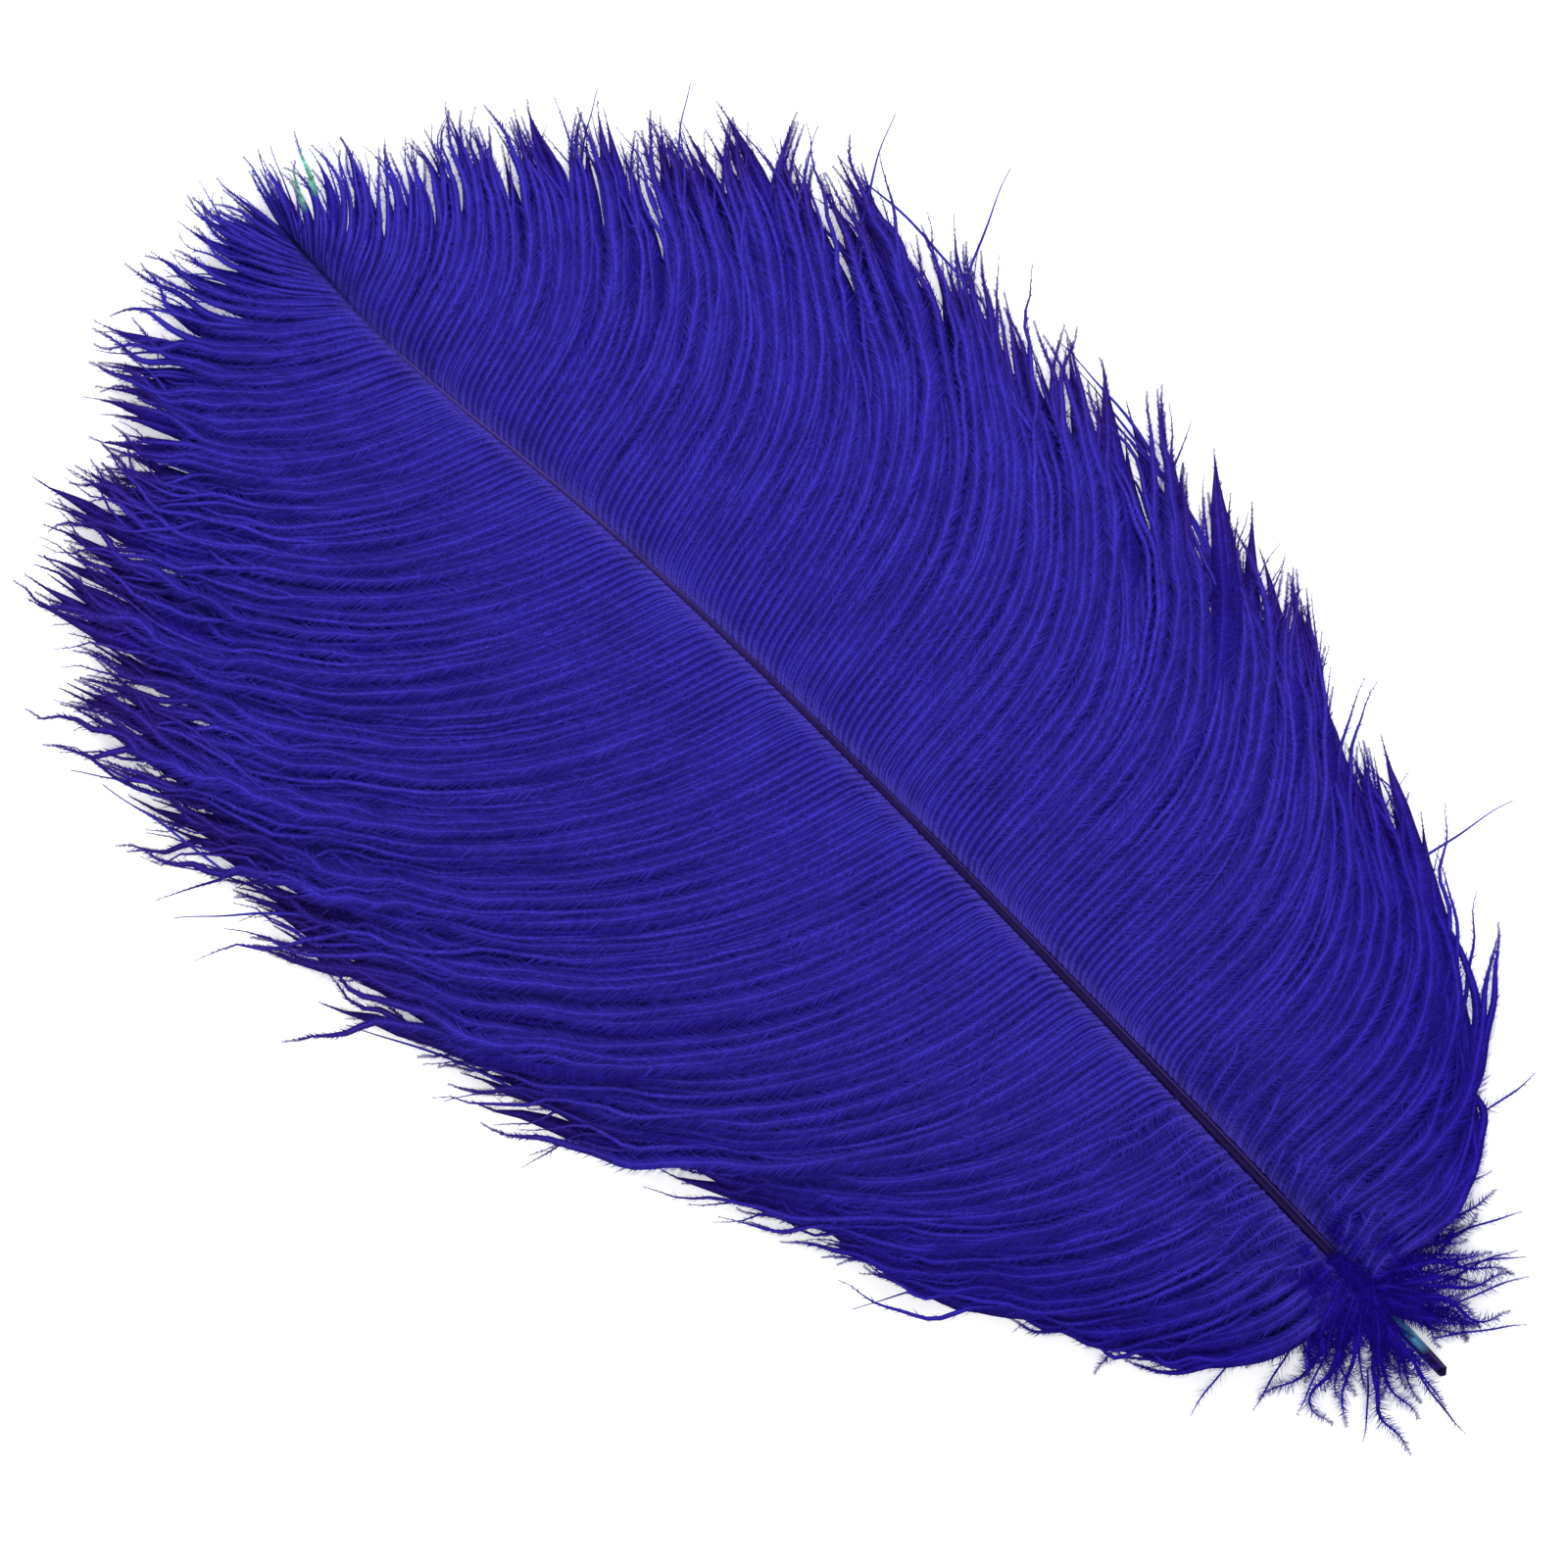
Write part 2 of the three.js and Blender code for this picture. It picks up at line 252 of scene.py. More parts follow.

# Barbs' looks: their sheen, how dark they are from the rib's crest to the barbules' ends, which is a painted
# highlight on the crest and painted shade in the gaps between barbs, and how much that shows along a barb
BARB_SHEEN = {
    "Roughness": 0.6,
    "Specular IOR Level": 0.03,
    "Specular Tint": (0.5, 0.45, 1, 1),
    "Sheen Weight": 0.008,
    "Sheen Roughness": 0.4,
    "Sheen Tint": (0.3, 0.25, 1, 1),
}
ACROSS_PAINTED_RELIEF = ((0, 0.95), (0.07, 0.8), (0.13, 0.5), (0.21, 0.25), (0.25, 0.85), (0.33, 0.7), (0.46, 0.42),
                 (0.5, 0.4))
CONTRASTS = ((0, 0.9), (0.06, 0.9), (0.2, 0.6), (0.5, 0.65), (0.85, 0.85), (1, 0.6))
TEAL_PATCH = {"row": 86, "rows": 1.7, "place": 0.5, "reach": 0.34}

# Webs and barbules of the vanes: half a web where a barb leaves the shaft, how far from there the barbules
# stay short, and half a barbule's width, its lean off its barb in degrees and its slope, each with its stray
ROOT_WEB = 1.0
SHORT_BARBULES_END = 24
VANE_BARBULES = (0.2, (26, 16), (-0.02, 0.17))

# Picture: 1600 pixels across, looking straight down, with the shaft's tip to the upper left
PIXEL = 0.2285 * MM
FRAME_PIXELS = 1600
VIEW_CENTRE = Vector((206.4 * MM, 10.2 * MM, 0))
VIEW_UP = Vector((0.7017, -0.7125, 0))
VIEW_DISTANCE = 1.8
SENSOR = 36

# Floor, and the two lamps over it: name, place and width
FLOOR_HALF = 2.5
KEY_LAMP = ("key", Vector((0.75, -1.0, 0.95)), 0.7)
FILL_LAMP = ("fill", Vector((-0.8, 0.9, 1.3)), 1.2)


def chance(n):
    """A number from 0 to 1 that is the same for the same n each time."""
    value = np.sin(np.asarray(n, float) * 12.9898 + 4.1414) * 43758.5453
    return value - np.floor(value)


def stray(n):
    """The same, from -1 to 1."""
    return 2 * chance(n) - 1


def through(knots, place):
    """Smooth curve through a list of (place, value), read at many places."""
    table = np.array(knots, float)
    x, y = table[:, 0], table[:, 1]
    before = np.maximum(np.arange(len(x)) - 1, 0)
    after = np.minimum(np.arange(len(x)) + 1, len(x) - 1)
    slope = (y[after] - y[before]) / (x[after] - x[before])
    at = np.clip(np.asarray(place, float), x[0], x[-1])
    i = np.clip(np.searchsorted(x, at) - 1, 0, len(x) - 2)
    gap = x[i + 1] - x[i]
    f = (at - x[i]) / gap
    f2 = f * f
    f3 = f2 * f
    return ((2 * f3 - 3 * f2 + 1) * y[i] + (f3 - 2 * f2 + f) * gap * slope[i]
            + (3 * f2 - 2 * f3) * y[i + 1] + (f3 - f2) * gap * slope[i + 1])


def smooth(low, high, value):
    """0 below low, 1 above high and a soft step between them."""
    f = np.clip((value - low) / (high - low), 0, 1)
    return f * f * (3 - 2 * f)


def sine(turns):
    """Sine of an angle given in whole turns."""
    return np.sin(2 * np.pi * turns)


def shares(steps):
    """Shares of a line's length at the ends of its steps, in one row."""
    return np.linspace(0, 1, steps + 1)[None, :]


def to_end(lines, lengths):
    """Distance from each point of each line to the end of its line."""
    return (1 - shares(lines.shape[1] - 1)) * lengths[:, None]


def eased(values, at):
    """Values of a row of zones read anywhere along it: each holds over its middle and eases into the next."""
    at = np.clip(at, 0, len(values) - 1)
    i = np.minimum(at.astype(int), len(values) - 2)
    f = smooth(0.2, 0.8, at - i)
    return values[i] * (1 - f) + values[i + 1] * f


def shaft_at(place):
    """Middle of the shaft and its direction seen from above, at shares of its length, in millimetres."""
    place = np.asarray(place, float)
    step = 0.002
    ahead = np.minimum(place + step, 1)
    behind = np.maximum(place - step, 0)
    bow = through(SHAFT_BOW, ahead) - through(SHAFT_BOW, behind)
    heading = np.arctan2(bow, (ahead - behind) * SHAFT_LENGTH)
    return place * SHAFT_LENGTH, through(SHAFT_BOW, place), through(SHAFT_RISE, place), heading


def barb_lines(barbs, steps):
    """Lines of many barbs at once, out from the shaft and over to its tip: an array of barb, step, xyz."""
    x, y, z, heading = shaft_at(barbs["place"])
    radius = through(SHAFT_RADIUS, barbs["place"])
    along = shares(steps)
    middle = 0.5 * (along[:, 1:] + along[:, :-1])
    column = {name: np.broadcast_to(value, x.shape).astype(float)[:, None] for name, value in barbs.items()}

    even = through(EVEN_BEND, middle)
    turned = even + column["late"] * (through(LATE_BEND, middle) - even)
    bend = column["root"] + (column["tip"] - column["root"]) * turned
    wave = column["wave"] * middle * sine(LOCK_WAVE_TURNS * middle + column["phase"])
    distance = middle * column["length"]
    phase = distance / RIPPLE_LENGTH + column["ripple_phase"]
    ripple = column["ripple"] * smooth(*RIPPLE_ZONE, middle) * sine(phase)
    phase = distance / FLUTTER_LENGTH * (0.8 + 0.4 * column["flutter_phase"]) + column["flutter_phase"]
    strength = smooth(*FLUTTER_START, distance) + column["curl"] * smooth(*CURL_ZONE, middle)
    flutter = column["flutter"] * strength * sine(phase)
    hook = (bend - column["hook"]) * np.exp(-distance / HOOK_LENGTH)
    swing = column["swing"] * smooth(*SWING_ZONE, middle) + column["flick"] * smooth(*FLICK_ZONE, middle)
    angle = np.radians(bend + wave + ripple + flutter + swing - hook)
    turn = heading[:, None] + column["side"] * angle
    step = column["length"] / steps
    out = np.zeros((len(x), steps + 1, 3))
    out[:, 1:, 0] = np.cumsum(np.cos(turn) * step, axis=1)
    out[:, 1:, 1] = np.cumsum(np.sin(turn) * step, axis=1)
    out[:, :, 0] += x[:, None] - np.sin(heading)[:, None] * column["side"] * ROOT_ASIDE * radius[:, None]
    out[:, :, 1] += y[:, None] + np.cos(heading)[:, None] * column["side"] * ROOT_ASIDE * radius[:, None]

    fall = smooth(0, 1, along)
    arch = CROWN_SCALE * along * (1 - along) ** 2
    start = z[:, None] + ROOT_RISE * radius[:, None]
    out[:, :, 2] = start + (column["tip_height"] - start) * fall + column["crown"] * arch
    return out


def vane_barbs(vane, layer, barbs_a_side):
    """Lines and lengths of the barbs of one layer of a vane, drawn together into tufts at its edge."""
    vane_span = VANE_END - VANE_START
    gap = vane_span / LOCKS_A_SIDE
    n = vane["seed"] + np.arange(LOCKS_A_SIDE) * 7
    lock_turn = layer["share_stray"] * LOCK_TURN_SPREAD * stray(n + 1)
    lock_stretch = layer["stretch"] + LOCK_LENGTH_SPREAD * stray(n + 2)
    lock_wave = LOCK_WAVE * chance(n + 3)
    lock_phase = chance(n + 4)
    lock_height = TIP_HEIGHT + TIP_HEIGHT_SPREAD * chance(n + 5)

    barb = np.arange(barbs_a_side)
    seed = vane["seed"] + layer["seed"]
    m = seed * 17 + barb * 11
    place = VANE_START + vane_span * (barb + 0.5 + BARB_PLACE_SPREAD * stray(m + 12)) / barbs_a_side
    sizes = TUFT_SMALLEST + np.floor(TUFT_MORE * chance(seed * 3 + barb * 5))
    tuft = np.searchsorted(np.cumsum(sizes), barb, side="right")
    tufts = tuft[-1] + 1
    tuft_size = np.bincount(tuft, minlength=tufts)
    tuft_place = np.bincount(tuft, place, minlength=tufts) / tuft_size
    from_middle = (place - tuft_place[tuft]) * 2 * barbs_a_side / (tuft_size[tuft] * vane_span)

    def family(places, m, length_factor, turn, swing, flick, phase):
        at = (places - VANE_START) / gap - 0.5
        loose = smooth(LOOSE_END, VANE_START, places)
        loose_wave = layer["sway"] * loose * (2 + 5 * chance(m + 16))
        return {
            "side": vane["side"],
            "late": vane["late"],
            "place": places,
            "length": through(vane["length"], places) * eased(lock_stretch, at) * length_factor,
            "root": through(vane["root"], places) + 3 * loose * stray(m + 5),
            "tip": through(vane["tip"], places) + eased(lock_turn, at) + turn * (1 + 2 * loose),
            "wave": 0.6 * layer["sway"] * eased(lock_wave, at) + loose_wave,
            "phase": 0.3 * eased(lock_phase, at) + 0.5 * loose * stray(m + 10),
            "swing": through(vane["swing"], places) + layer["sway"] * swing,
            "flick": layer["sway"] * (flick + 0.35 * vane["flick"] * stray(m + 17)),
            "ripple": layer["sway"] * vane["ripple"] * (0.4 + 0.6 * chance(m + 2)),
            "ripple_phase": eased(chance(n + 6), at) + phase + (0.06 + 0.08 * loose) * stray(m + 3),
            "flutter": layer["sway"] * (1 + 4 * chance(m + 13) ** 2) * (1 + 0.8 * loose),
            "curl": vane["curl"],
            "flutter_phase": chance(m + 14),
            "tip_height": eased(lock_height, at) + 0.8 * chance(m + 4),
            "crown": VANE_CROWN + 2 * loose * stray(m + 11),
            "hook": HOOK_ANGLE,
        }

    tuft_seed = seed * 31 + np.arange(tufts) * 13
    tuft_stretch = 1 + TUFT_STRETCH_SPREAD * stray(tuft_seed)
    tuft_swing = vane["swing_stray"] * stray(tuft_seed + 2)
    tuft_flick = vane["flick"] * stray(tuft_seed + 3)
    tuft_phase = vane["cross"] * stray(tuft_seed + 4)
    tuft_turn = TUFT_TURN_SPREAD * stray(tuft_seed + 1)
    tuft_kind = family(tuft_place, tuft_seed, tuft_stretch, tuft_turn, tuft_swing, tuft_flick, tuft_phase)
    tuft_lines = barb_lines(tuft_kind, layer["steps"])

    free = chance(m + 6) < layer["free"] + FREE_MORE_LEFT * (vane["side"] > 0) * layer["sway"]
    shorter = 4 * np.abs(from_middle) ** 1.3 + 11 * chance(m) ** 2 - 6 * chance(tuft_seed + 7)[tuft] ** 3
    shorter = np.where(free, 14 * chance(m + 7) - 6, shorter)
    factor = tuft_stretch[tuft] * (1 - shorter / through(vane["length"], place))
    swing = tuft_swing[tuft] + (BARB_SWING + FREE_SWING_MORE * free) * stray(m + 15)
    flick = tuft_flick[tuft] * np.where(free, -0.6, 1)
    kind = family(place, m, factor, layer["turn"] * stray(m + 1), swing, flick, tuft_phase[tuft])
    lines = barb_lines(kind, layer["steps"])

    along = shares(layer["steps"])
    shortest, more = vane["gather"]
    gather = ((shortest + more * chance(tuft_seed + 5)[tuft] ** 2) / kind["length"])[:, None]
    pull = (0.4 + 0.45 * chance(tuft_seed + 6)[tuft]) * np.where(free, 0, 1)
    pull = pull[:, None] * smooth(1 - gather, 1.05, along)
    lines[:, :, :2] += pull[:, :, None] * (tuft_lines[tuft] - lines)[:, :, :2]
    ridge = RIDGE_HEIGHT * (1 - from_middle ** 2)[:, None] * smooth(0.12, 0.4, along)
    sway = SWAY_HEIGHT * sine(SWAY_TURNS * along + chance(m + 9)[:, None])
    lines[:, :, 2] += ridge * (1 - 0.7 * smooth(0.8, 1, along)) + sway * smooth(0.06, 0.3, along)
    lines[:, :, 2] += layer["lift"] * smooth(0, 0.08, along)
    lift = layer["sway"] * TUFT_LIFT * chance(tuft_seed + 8)[tuft][:, None]
    lines[:, :, 2] += lift * smooth(0.4, 0.7, along)
    lines[:, :, 2] = np.maximum(lines[:, :, 2], TIP_HEIGHT)
    return lines, kind["length"]


def frames(lines):
    """Unit directions along, across and over each line, at each step."""
    along = np.gradient(lines, axis=1)
    along /= np.maximum(np.linalg.norm(along, axis=2, keepdims=True), 1e-9)
    across = np.cross(along, np.array([0.0, 0.0, 1.0]))
    across /= np.maximum(np.linalg.norm(across, axis=2, keepdims=True), 1e-9)
    over = np.cross(across, along)
    return along, across, over


def map_along(distance, length):
    """Place along a map row: the root zone has the same share of every barb's row."""
    zone = np.minimum(ROOT_ZONE, 0.5 * length)
    root = ROOT_SHARE * distance / zone
    rest = ROOT_SHARE + (1 - ROOT_SHARE) * (distance - zone) / (length - zone)
    return np.clip(np.where(distance < zone, root, rest), 0, 1)


def ribbon_parts(lines, lengths, rows, rib, crest, leg, drop):
    """Points, faces and map places of a ribbon along each line: a raised rib between two sloping webs."""
    count, steps = lines.shape[0], lines.shape[1]
    _, across, over = frames(lines)
    u = map_along(shares(steps - 1) * lengths[:, None], lengths[:, None])
    section = (
        (-leg, -drop, -RIBBON_BAND),
        (-rib, 0 * rib, -0.35 * RIBBON_BAND),
        (0 * rib, crest, 0),
        (rib, 0 * rib, 0.35 * RIBBON_BAND),
        (leg, -drop, RIBBON_BAND),
    )
    points = np.zeros((count, steps, len(section), 3))
    places = np.zeros((count, steps, len(section), 2))
    for k, (aside, lift, band) in enumerate(section):
        points[:, :, k] = lines + across * aside[:, :, None] + over * lift[:, :, None]
        places[:, :, k, 0] = u
        places[:, :, k, 1] = rows[:, None] + 0.5 + band
    points[:, :, :, 2] = np.maximum(points[:, :, :, 2], CLEARANCE)
    index = np.arange(count * steps * len(section)).reshape(count, steps, len(section))
    quads = []
    for k in range(len(section) - 1):
        corners = (index[:, :-1, k], index[:, 1:, k], index[:, 1:, k + 1], index[:, :-1, k + 1])
        quads.append(np.stack(corners, axis=-1).reshape(-1, 4))
    return points.reshape(-1, 3), np.concatenate(quads), places.reshape(-1, 2)


def barbule_parts(lines, lengths, rows, seed, spacing, reach, half_width, lean, sink):
    """Points, faces and map places of the barbules, one thin triangle each, on both sides of each line."""
    along, across, over = frames(lines)
    steps = lines.shape[1] - 1
    all_points = []
    all_places = []
    for side in (-1, 1):
        number = np.maximum(2, (lengths / spacing).astype(int))
        owner = np.repeat(np.arange(len(lengths)), number)
        first = np.repeat(np.cumsum(number) - number, number)
        m = seed + side * 0.37 + np.arange(len(owner)) * 1.7
        where = (np.arange(len(owner)) - first + 0.5 + 0.5 * stray(m)) / number[owner]
        where = np.clip(where, 0, 0.999)
        at = where * steps
        i = np.minimum(at.astype(int), steps - 1)
        f = (at - i)[:, None]

        def read(array):
            return array[owner, i] * (1 - f) + array[owner, i + 1] * f

        base = read(lines)
        ahead = read(along)
        aside = read(across) * side
        above = read(over)
        distance = where * lengths[owner]
        size = reach(distance, lengths[owner]) * (1 + 0.4 * stray(m + 0.31))
        angle = np.radians(lean[0] + lean[1] * stray(m + 0.57))
        slope = sink[0] + sink[1] * stray(m + 0.83)
        direction = ahead * np.cos(angle)[:, None] + aside * np.sin(angle)[:, None]
        direction = direction + above * slope[:, None]
        direction /= np.linalg.norm(direction, axis=1, keepdims=True)
        root = base + aside * 0.12 + above * 0.08
        tip = root + direction * size[:, None]
        wide = half_width * (0.7 + 0.6 * chance(m + 0.91))[:, None]
        points = np.stack([root - ahead * wide, root + ahead * wide, tip], axis=1)
        points[:, :, 2] = np.maximum(points[:, :, 2], CLEARANCE)
        u = map_along(distance, lengths[owner])
        shift = 0.25 * half_width / lengths[owner]
        inner, outer = BARBULE_BAND
        v = rows[owner][:, None] + 0.5 + side * np.array([[inner, inner, outer]])
        u = np.stack([u - shift, u + shift, u], axis=1)
        all_points.append(points.reshape(-1, 3))
        all_places.append(np.stack([u, v], axis=-1).reshape(-1, 2))
    points = np.concatenate(all_points)
    faces = np.arange(len(points)).reshape(-1, 3)
    return points, faces, np.concatenate(all_places)


def barb_parts(lines, lengths, profile, *barbules):
    """Ribbons and barbules of barbs that take one row of the map each."""
    rows = np.arange(len(lines)).astype(float)
    return [ribbon_parts(lines, lengths, rows, *profile), barbule_parts(lines, lengths, rows, *barbules)]


def mesh_piece(name, parts, material):
    """One object from several groups of points, faces and map places, in the solid's own millimetres."""
    points = np.concatenate([p for p, _, _ in parts])
    places = np.concatenate([q for _, _, q in parts])
    corners = []
    totals = []
    first = 0
    for p, faces, _ in parts:
        corners.append((faces + first).reshape(-1))
        totals.append(np.full(len(faces), faces.shape[1]))
        first += len(p)
    corners = np.concatenate(corners).astype(np.int32)
    totals = np.concatenate(totals).astype(np.int32)
    starts = np.concatenate([[0], np.cumsum(totals)[:-1]]).astype(np.int32)

    mesh = bpy.data.meshes.new(name)
    mesh.vertices.add(len(points))
    world = points * MM + np.array(QUILL_END)
    mesh.vertices.foreach_set("co", world.astype(np.float32).reshape(-1))
    mesh.loops.add(len(corners))
    mesh.loops.foreach_set("vertex_index", corners)
    mesh.polygons.add(len(totals))
    mesh.polygons.foreach_set("loop_start", starts)
    mesh.polygons.foreach_set("use_smooth", np.ones(len(totals), bool))
    mesh.update(calc_edges=True)
    layer = mesh.uv_layers.new(name=MAP_NAME)
    flat = places[corners].copy()
    flat[:, 0] = MAP_MARGIN + (1 - 2 * MAP_MARGIN) * flat[:, 0]
    flat[:, 1] = flat[:, 1] / ROWS
    layer.uv.foreach_set("vector", flat.astype(np.float32).reshape(-1))
    mesh.materials.append(material)
    mesh.validate()
    piece = bpy.data.objects.new(name, mesh)
    bpy.context.scene.collection.objects.link(piece)
    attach(piece, "root")
    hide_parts(FEATHER)
    return piece


class Nodes:
    """Short names for the nodes of one material."""

    def __init__(self, name):
        self.material = bpy.data.materials.new(name)
        self.material.use_nodes = True
        self.tree = self.material.node_tree
        self.shader = self.tree.nodes["Principled BSDF"]

    def set(self, values):
        """Set the shader's own sockets to constants."""
        for name, value in values.items():
            self.shader.inputs[name].default_value = value

    def link(self, value, socket):
        """Set a socket from a number or a colour, or link it from another socket."""
        if isinstance(value, bpy.types.NodeSocket):
            self.tree.links.new(value, socket)
        else:
            socket.default_value = value

    def math(self, operation, a, b=0.0):
        node = self.tree.nodes.new("ShaderNodeMath")
        node.operation = operation
        self.link(a, node.inputs[0])
        self.link(b, node.inputs[1])
        return node.outputs[0]

    def product(self, a, b):
        return self.math("MULTIPLY", a, b)

    def ramp(self, value, stops):
        node = self.tree.nodes.new("ShaderNodeValToRGB")
        elements = node.color_ramp.elements
        elements[0].position, elements[0].color = stops[0]
        elements[1].position, elements[1].color = stops[-1]
        for position, colour in stops[1:-1]:
            elements.new(position).color = colour
        self.link(value, node.inputs[0])
        return node.outputs["Color"]

    def grey_ramp(self, value, stops):
        return self.ramp(value, [(position, (grey, grey, grey, 1)) for position, grey in stops])

    def noise(self, u, u_scale, v, v_scale, detail=2.0):
        """Noise over the map, with its own scale along the rows and across them."""
        place = self.tree.nodes.new("ShaderNodeCombineXYZ")
        self.link(self.product(u, u_scale), place.inputs["X"])
        self.link(self.product(v, v_scale), place.inputs["Y"])
        node = self.tree.nodes.new("ShaderNodeTexNoise")
        self.link(place.outputs[0], node.inputs["Vector"])
        node.inputs["Scale"].default_value = 1
        node.inputs["Detail"].default_value = detail
        return node.outputs["Fac"]

    def span(self, value, low, high, to_low, to_high):
        node = self.tree.nodes.new("ShaderNodeMapRange")
        for socket, number in zip(("Value", "From Min", "From Max", "To Min", "To Max"),
                                  (value, low, high, to_low, to_high)):
            self.link(number, node.inputs[socket])
        return node.outputs[0]

    def scale(self, colour, factor):
        node = self.tree.nodes.new("ShaderNodeVectorMath")
        node.operation = "SCALE"
        self.link(colour, node.inputs[0])
        self.link(factor, node.inputs["Scale"])
        return node.outputs[0]

    def mix(self, factor, a, b):
        node = self.tree.nodes.new("ShaderNodeMix")
        node.data_type = "RGBA"
        self.link(factor, node.inputs["Factor"])
        self.link(a, node.inputs["A"])
        self.link(b, node.inputs["B"])
        return node.outputs["Result"]

    def map_place(self):
        """Place along a barb's row, and the row with the place across it."""
        place = self.tree.nodes.new("ShaderNodeUVMap")
        place.uv_map = MAP_NAME
        split = self.tree.nodes.new("ShaderNodeSeparateXYZ")
        self.link(place.outputs["UV"], split.inputs[0])
        return split.outputs["X"], self.product(split.outputs["Y"], ROWS)


def plume_material(name, settings, body, patch=None, shade=(0.8, 1.18), rib_highlight_share=0.3, foot_rows=0):
    """Dyed barbs: pale by the shaft, ribs with a painted highlight and painted shade in the gaps between
    them, marked most in the root zone, soft streaks, dark violet tips.
    """
    nodes = Nodes(name)
    nodes.set(BARB_SHEEN)
    u, row = nodes.map_place()
    off = nodes.math("ABSOLUTE", nodes.math("SUBTRACT", nodes.math("FRACT", row), 0.5))
    number = nodes.math("FLOOR", row)

    body = tuple(body)
    root = tuple(settings.root_colour)
    tip = tuple(settings.tip_colour)
    along = nodes.ramp(u, ((0, root), (0.018, root), (0.05, body), (0.78, body), (0.96, tip), (1, tip)))
    # Painted shade: the outer half of the lowest rows blends into the down's darker colour
    if foot_rows:
        foot = nodes.product(nodes.span(number, 0, foot_rows, 1.0, 0.0), nodes.span(u, 0.12, 0.5, 0.0, 0.8))
        along = nodes.mix(foot, along, tuple(settings.down_shade_colour))
    # Painted light and shade across each barb: brighter on the rib's crest, darker toward the webs' edges and
    # the barbules' ends, in the gaps between barbs
    across = nodes.grey_ramp(off, ACROSS_PAINTED_RELIEF)
    across = nodes.span(across, 0, 1, 0.12, 1.55)
    contrast = nodes.grey_ramp(u, CONTRASTS)
    painted_relief = nodes.math("ADD", 1.0, nodes.product(nodes.math("SUBTRACT", across, 1.0), contrast))

    streak = nodes.span(nodes.noise(u, 9.0, number, 0.6), 0.3, 0.7, *shade)
    band = nodes.span(nodes.noise(u, 4.0, number, 0.17), 0.3, 0.7, 0.94, 1.06)
    streak = nodes.product(streak, band)
    fine = nodes.span(nodes.noise(u, 260.0, row, 3.1, 0.0), 0.2, 0.8, 0.66, 1.34)
    gain = nodes.product(nodes.product(painted_relief, streak), fine)
    # Painted highlight: the crest of each rib is mixed toward a paler colour, most near the shaft
    crest = nodes.product(nodes.span(off, 0.02, 0.13, rib_highlight_share, 0.0), nodes.span(u, 0.06, 0.2, 1.0, 0.4))
    colour = nodes.mix(crest, nodes.scale(along, gain), tuple(settings.rib_highlight_colour))
    if patch is not None:
        from_row = nodes.math("DIVIDE", nodes.math("SUBTRACT", number, patch["row"]), patch["rows"])
        from_place = nodes.math("DIVIDE", nodes.math("SUBTRACT", u, patch["place"]), patch["reach"])
        away = nodes.math("ADD", nodes.product(from_row, from_row), nodes.product(from_place, from_place))
        broken = nodes.math("ADD", away, nodes.product(nodes.math("SUBTRACT", streak, 1.0), 1.6))
        mask = nodes.span(broken, 0.5, 1.1, 1.0, 0.0)
        mottle = nodes.span(nodes.noise(u, 14.0, row, 1.0), 0.3, 0.7, 0.25, 1.3)
        patch_colour = nodes.scale(tuple(settings.patch_colour)[:3], nodes.product(fine, mottle))
        colour = nodes.mix(mask, colour, patch_colour)
    nodes.link(colour, nodes.shader.inputs["Base Color"])
    return nodes.material


def quill_material(settings):
    """Dyed horn: near-black violet, paler at the rachis' tip, with a teal patch by the cut end, painted
    bright as a highlight, and a painted highlight line along its lit side.
    """
    nodes = Nodes("dyed_quill")
    nodes.set({"Specular IOR Level": 0.16, "Specular Tint": (0.55, 0.4, 1, 1)})
    u, around = nodes.map_place()
    dark = tuple(settings.colour)
    pale = tuple(settings.tip_colour)
    middle = tuple(0.8 * a + 0.2 * b for a, b in zip(dark, pale))
    along = nodes.ramp(u, ((0, dark), (0.25, dark), (0.6, middle), (0.95, pale), (1, pale)))
    grain = nodes.span(nodes.noise(u, 30.0, around, 0.5), 0.3, 0.7, 0.6, 1.5)
    colour = nodes.scale(along, grain)

    def zone(value, first, last):
        """1 between the two middle places and 0 beyond the two outer ones."""
        return nodes.product(nodes.span(value, *first, 0.0, 1.0), nodes.span(value, *last, 1.0, 0.0))

    # Teal patch over the top and the lit side of the quill near the cut end, painted bright as a highlight
    teal = nodes.product(zone(u, (0.022, 0.034), (0.064, 0.076)), zone(around, (15, 22), (44, 52)))
    colour = nodes.mix(teal, colour, tuple(settings.teal_highlight_colour))
    # Painted highlight: a paler line along the lit side of the quill and rachis, fainter toward the tip
    stripe = nodes.product(zone(around, (31, 33), (35, 37)), nodes.span(u, 0.03, 0.5, 0.5, 0.25))
    colour = nodes.mix(stripe, colour, tuple(settings.highlight_stripe_colour))
    colour = nodes.mix(nodes.span(u, 0.0015, 0.003, 0.9, 0.0), colour, tuple(settings.rim_colour))
    nodes.link(colour, nodes.shader.inputs["Base Color"])
    nodes.link(nodes.span(grain, 0.6, 1.5, 0.16, 0.3), nodes.shader.inputs["Roughness"])
    return nodes.material


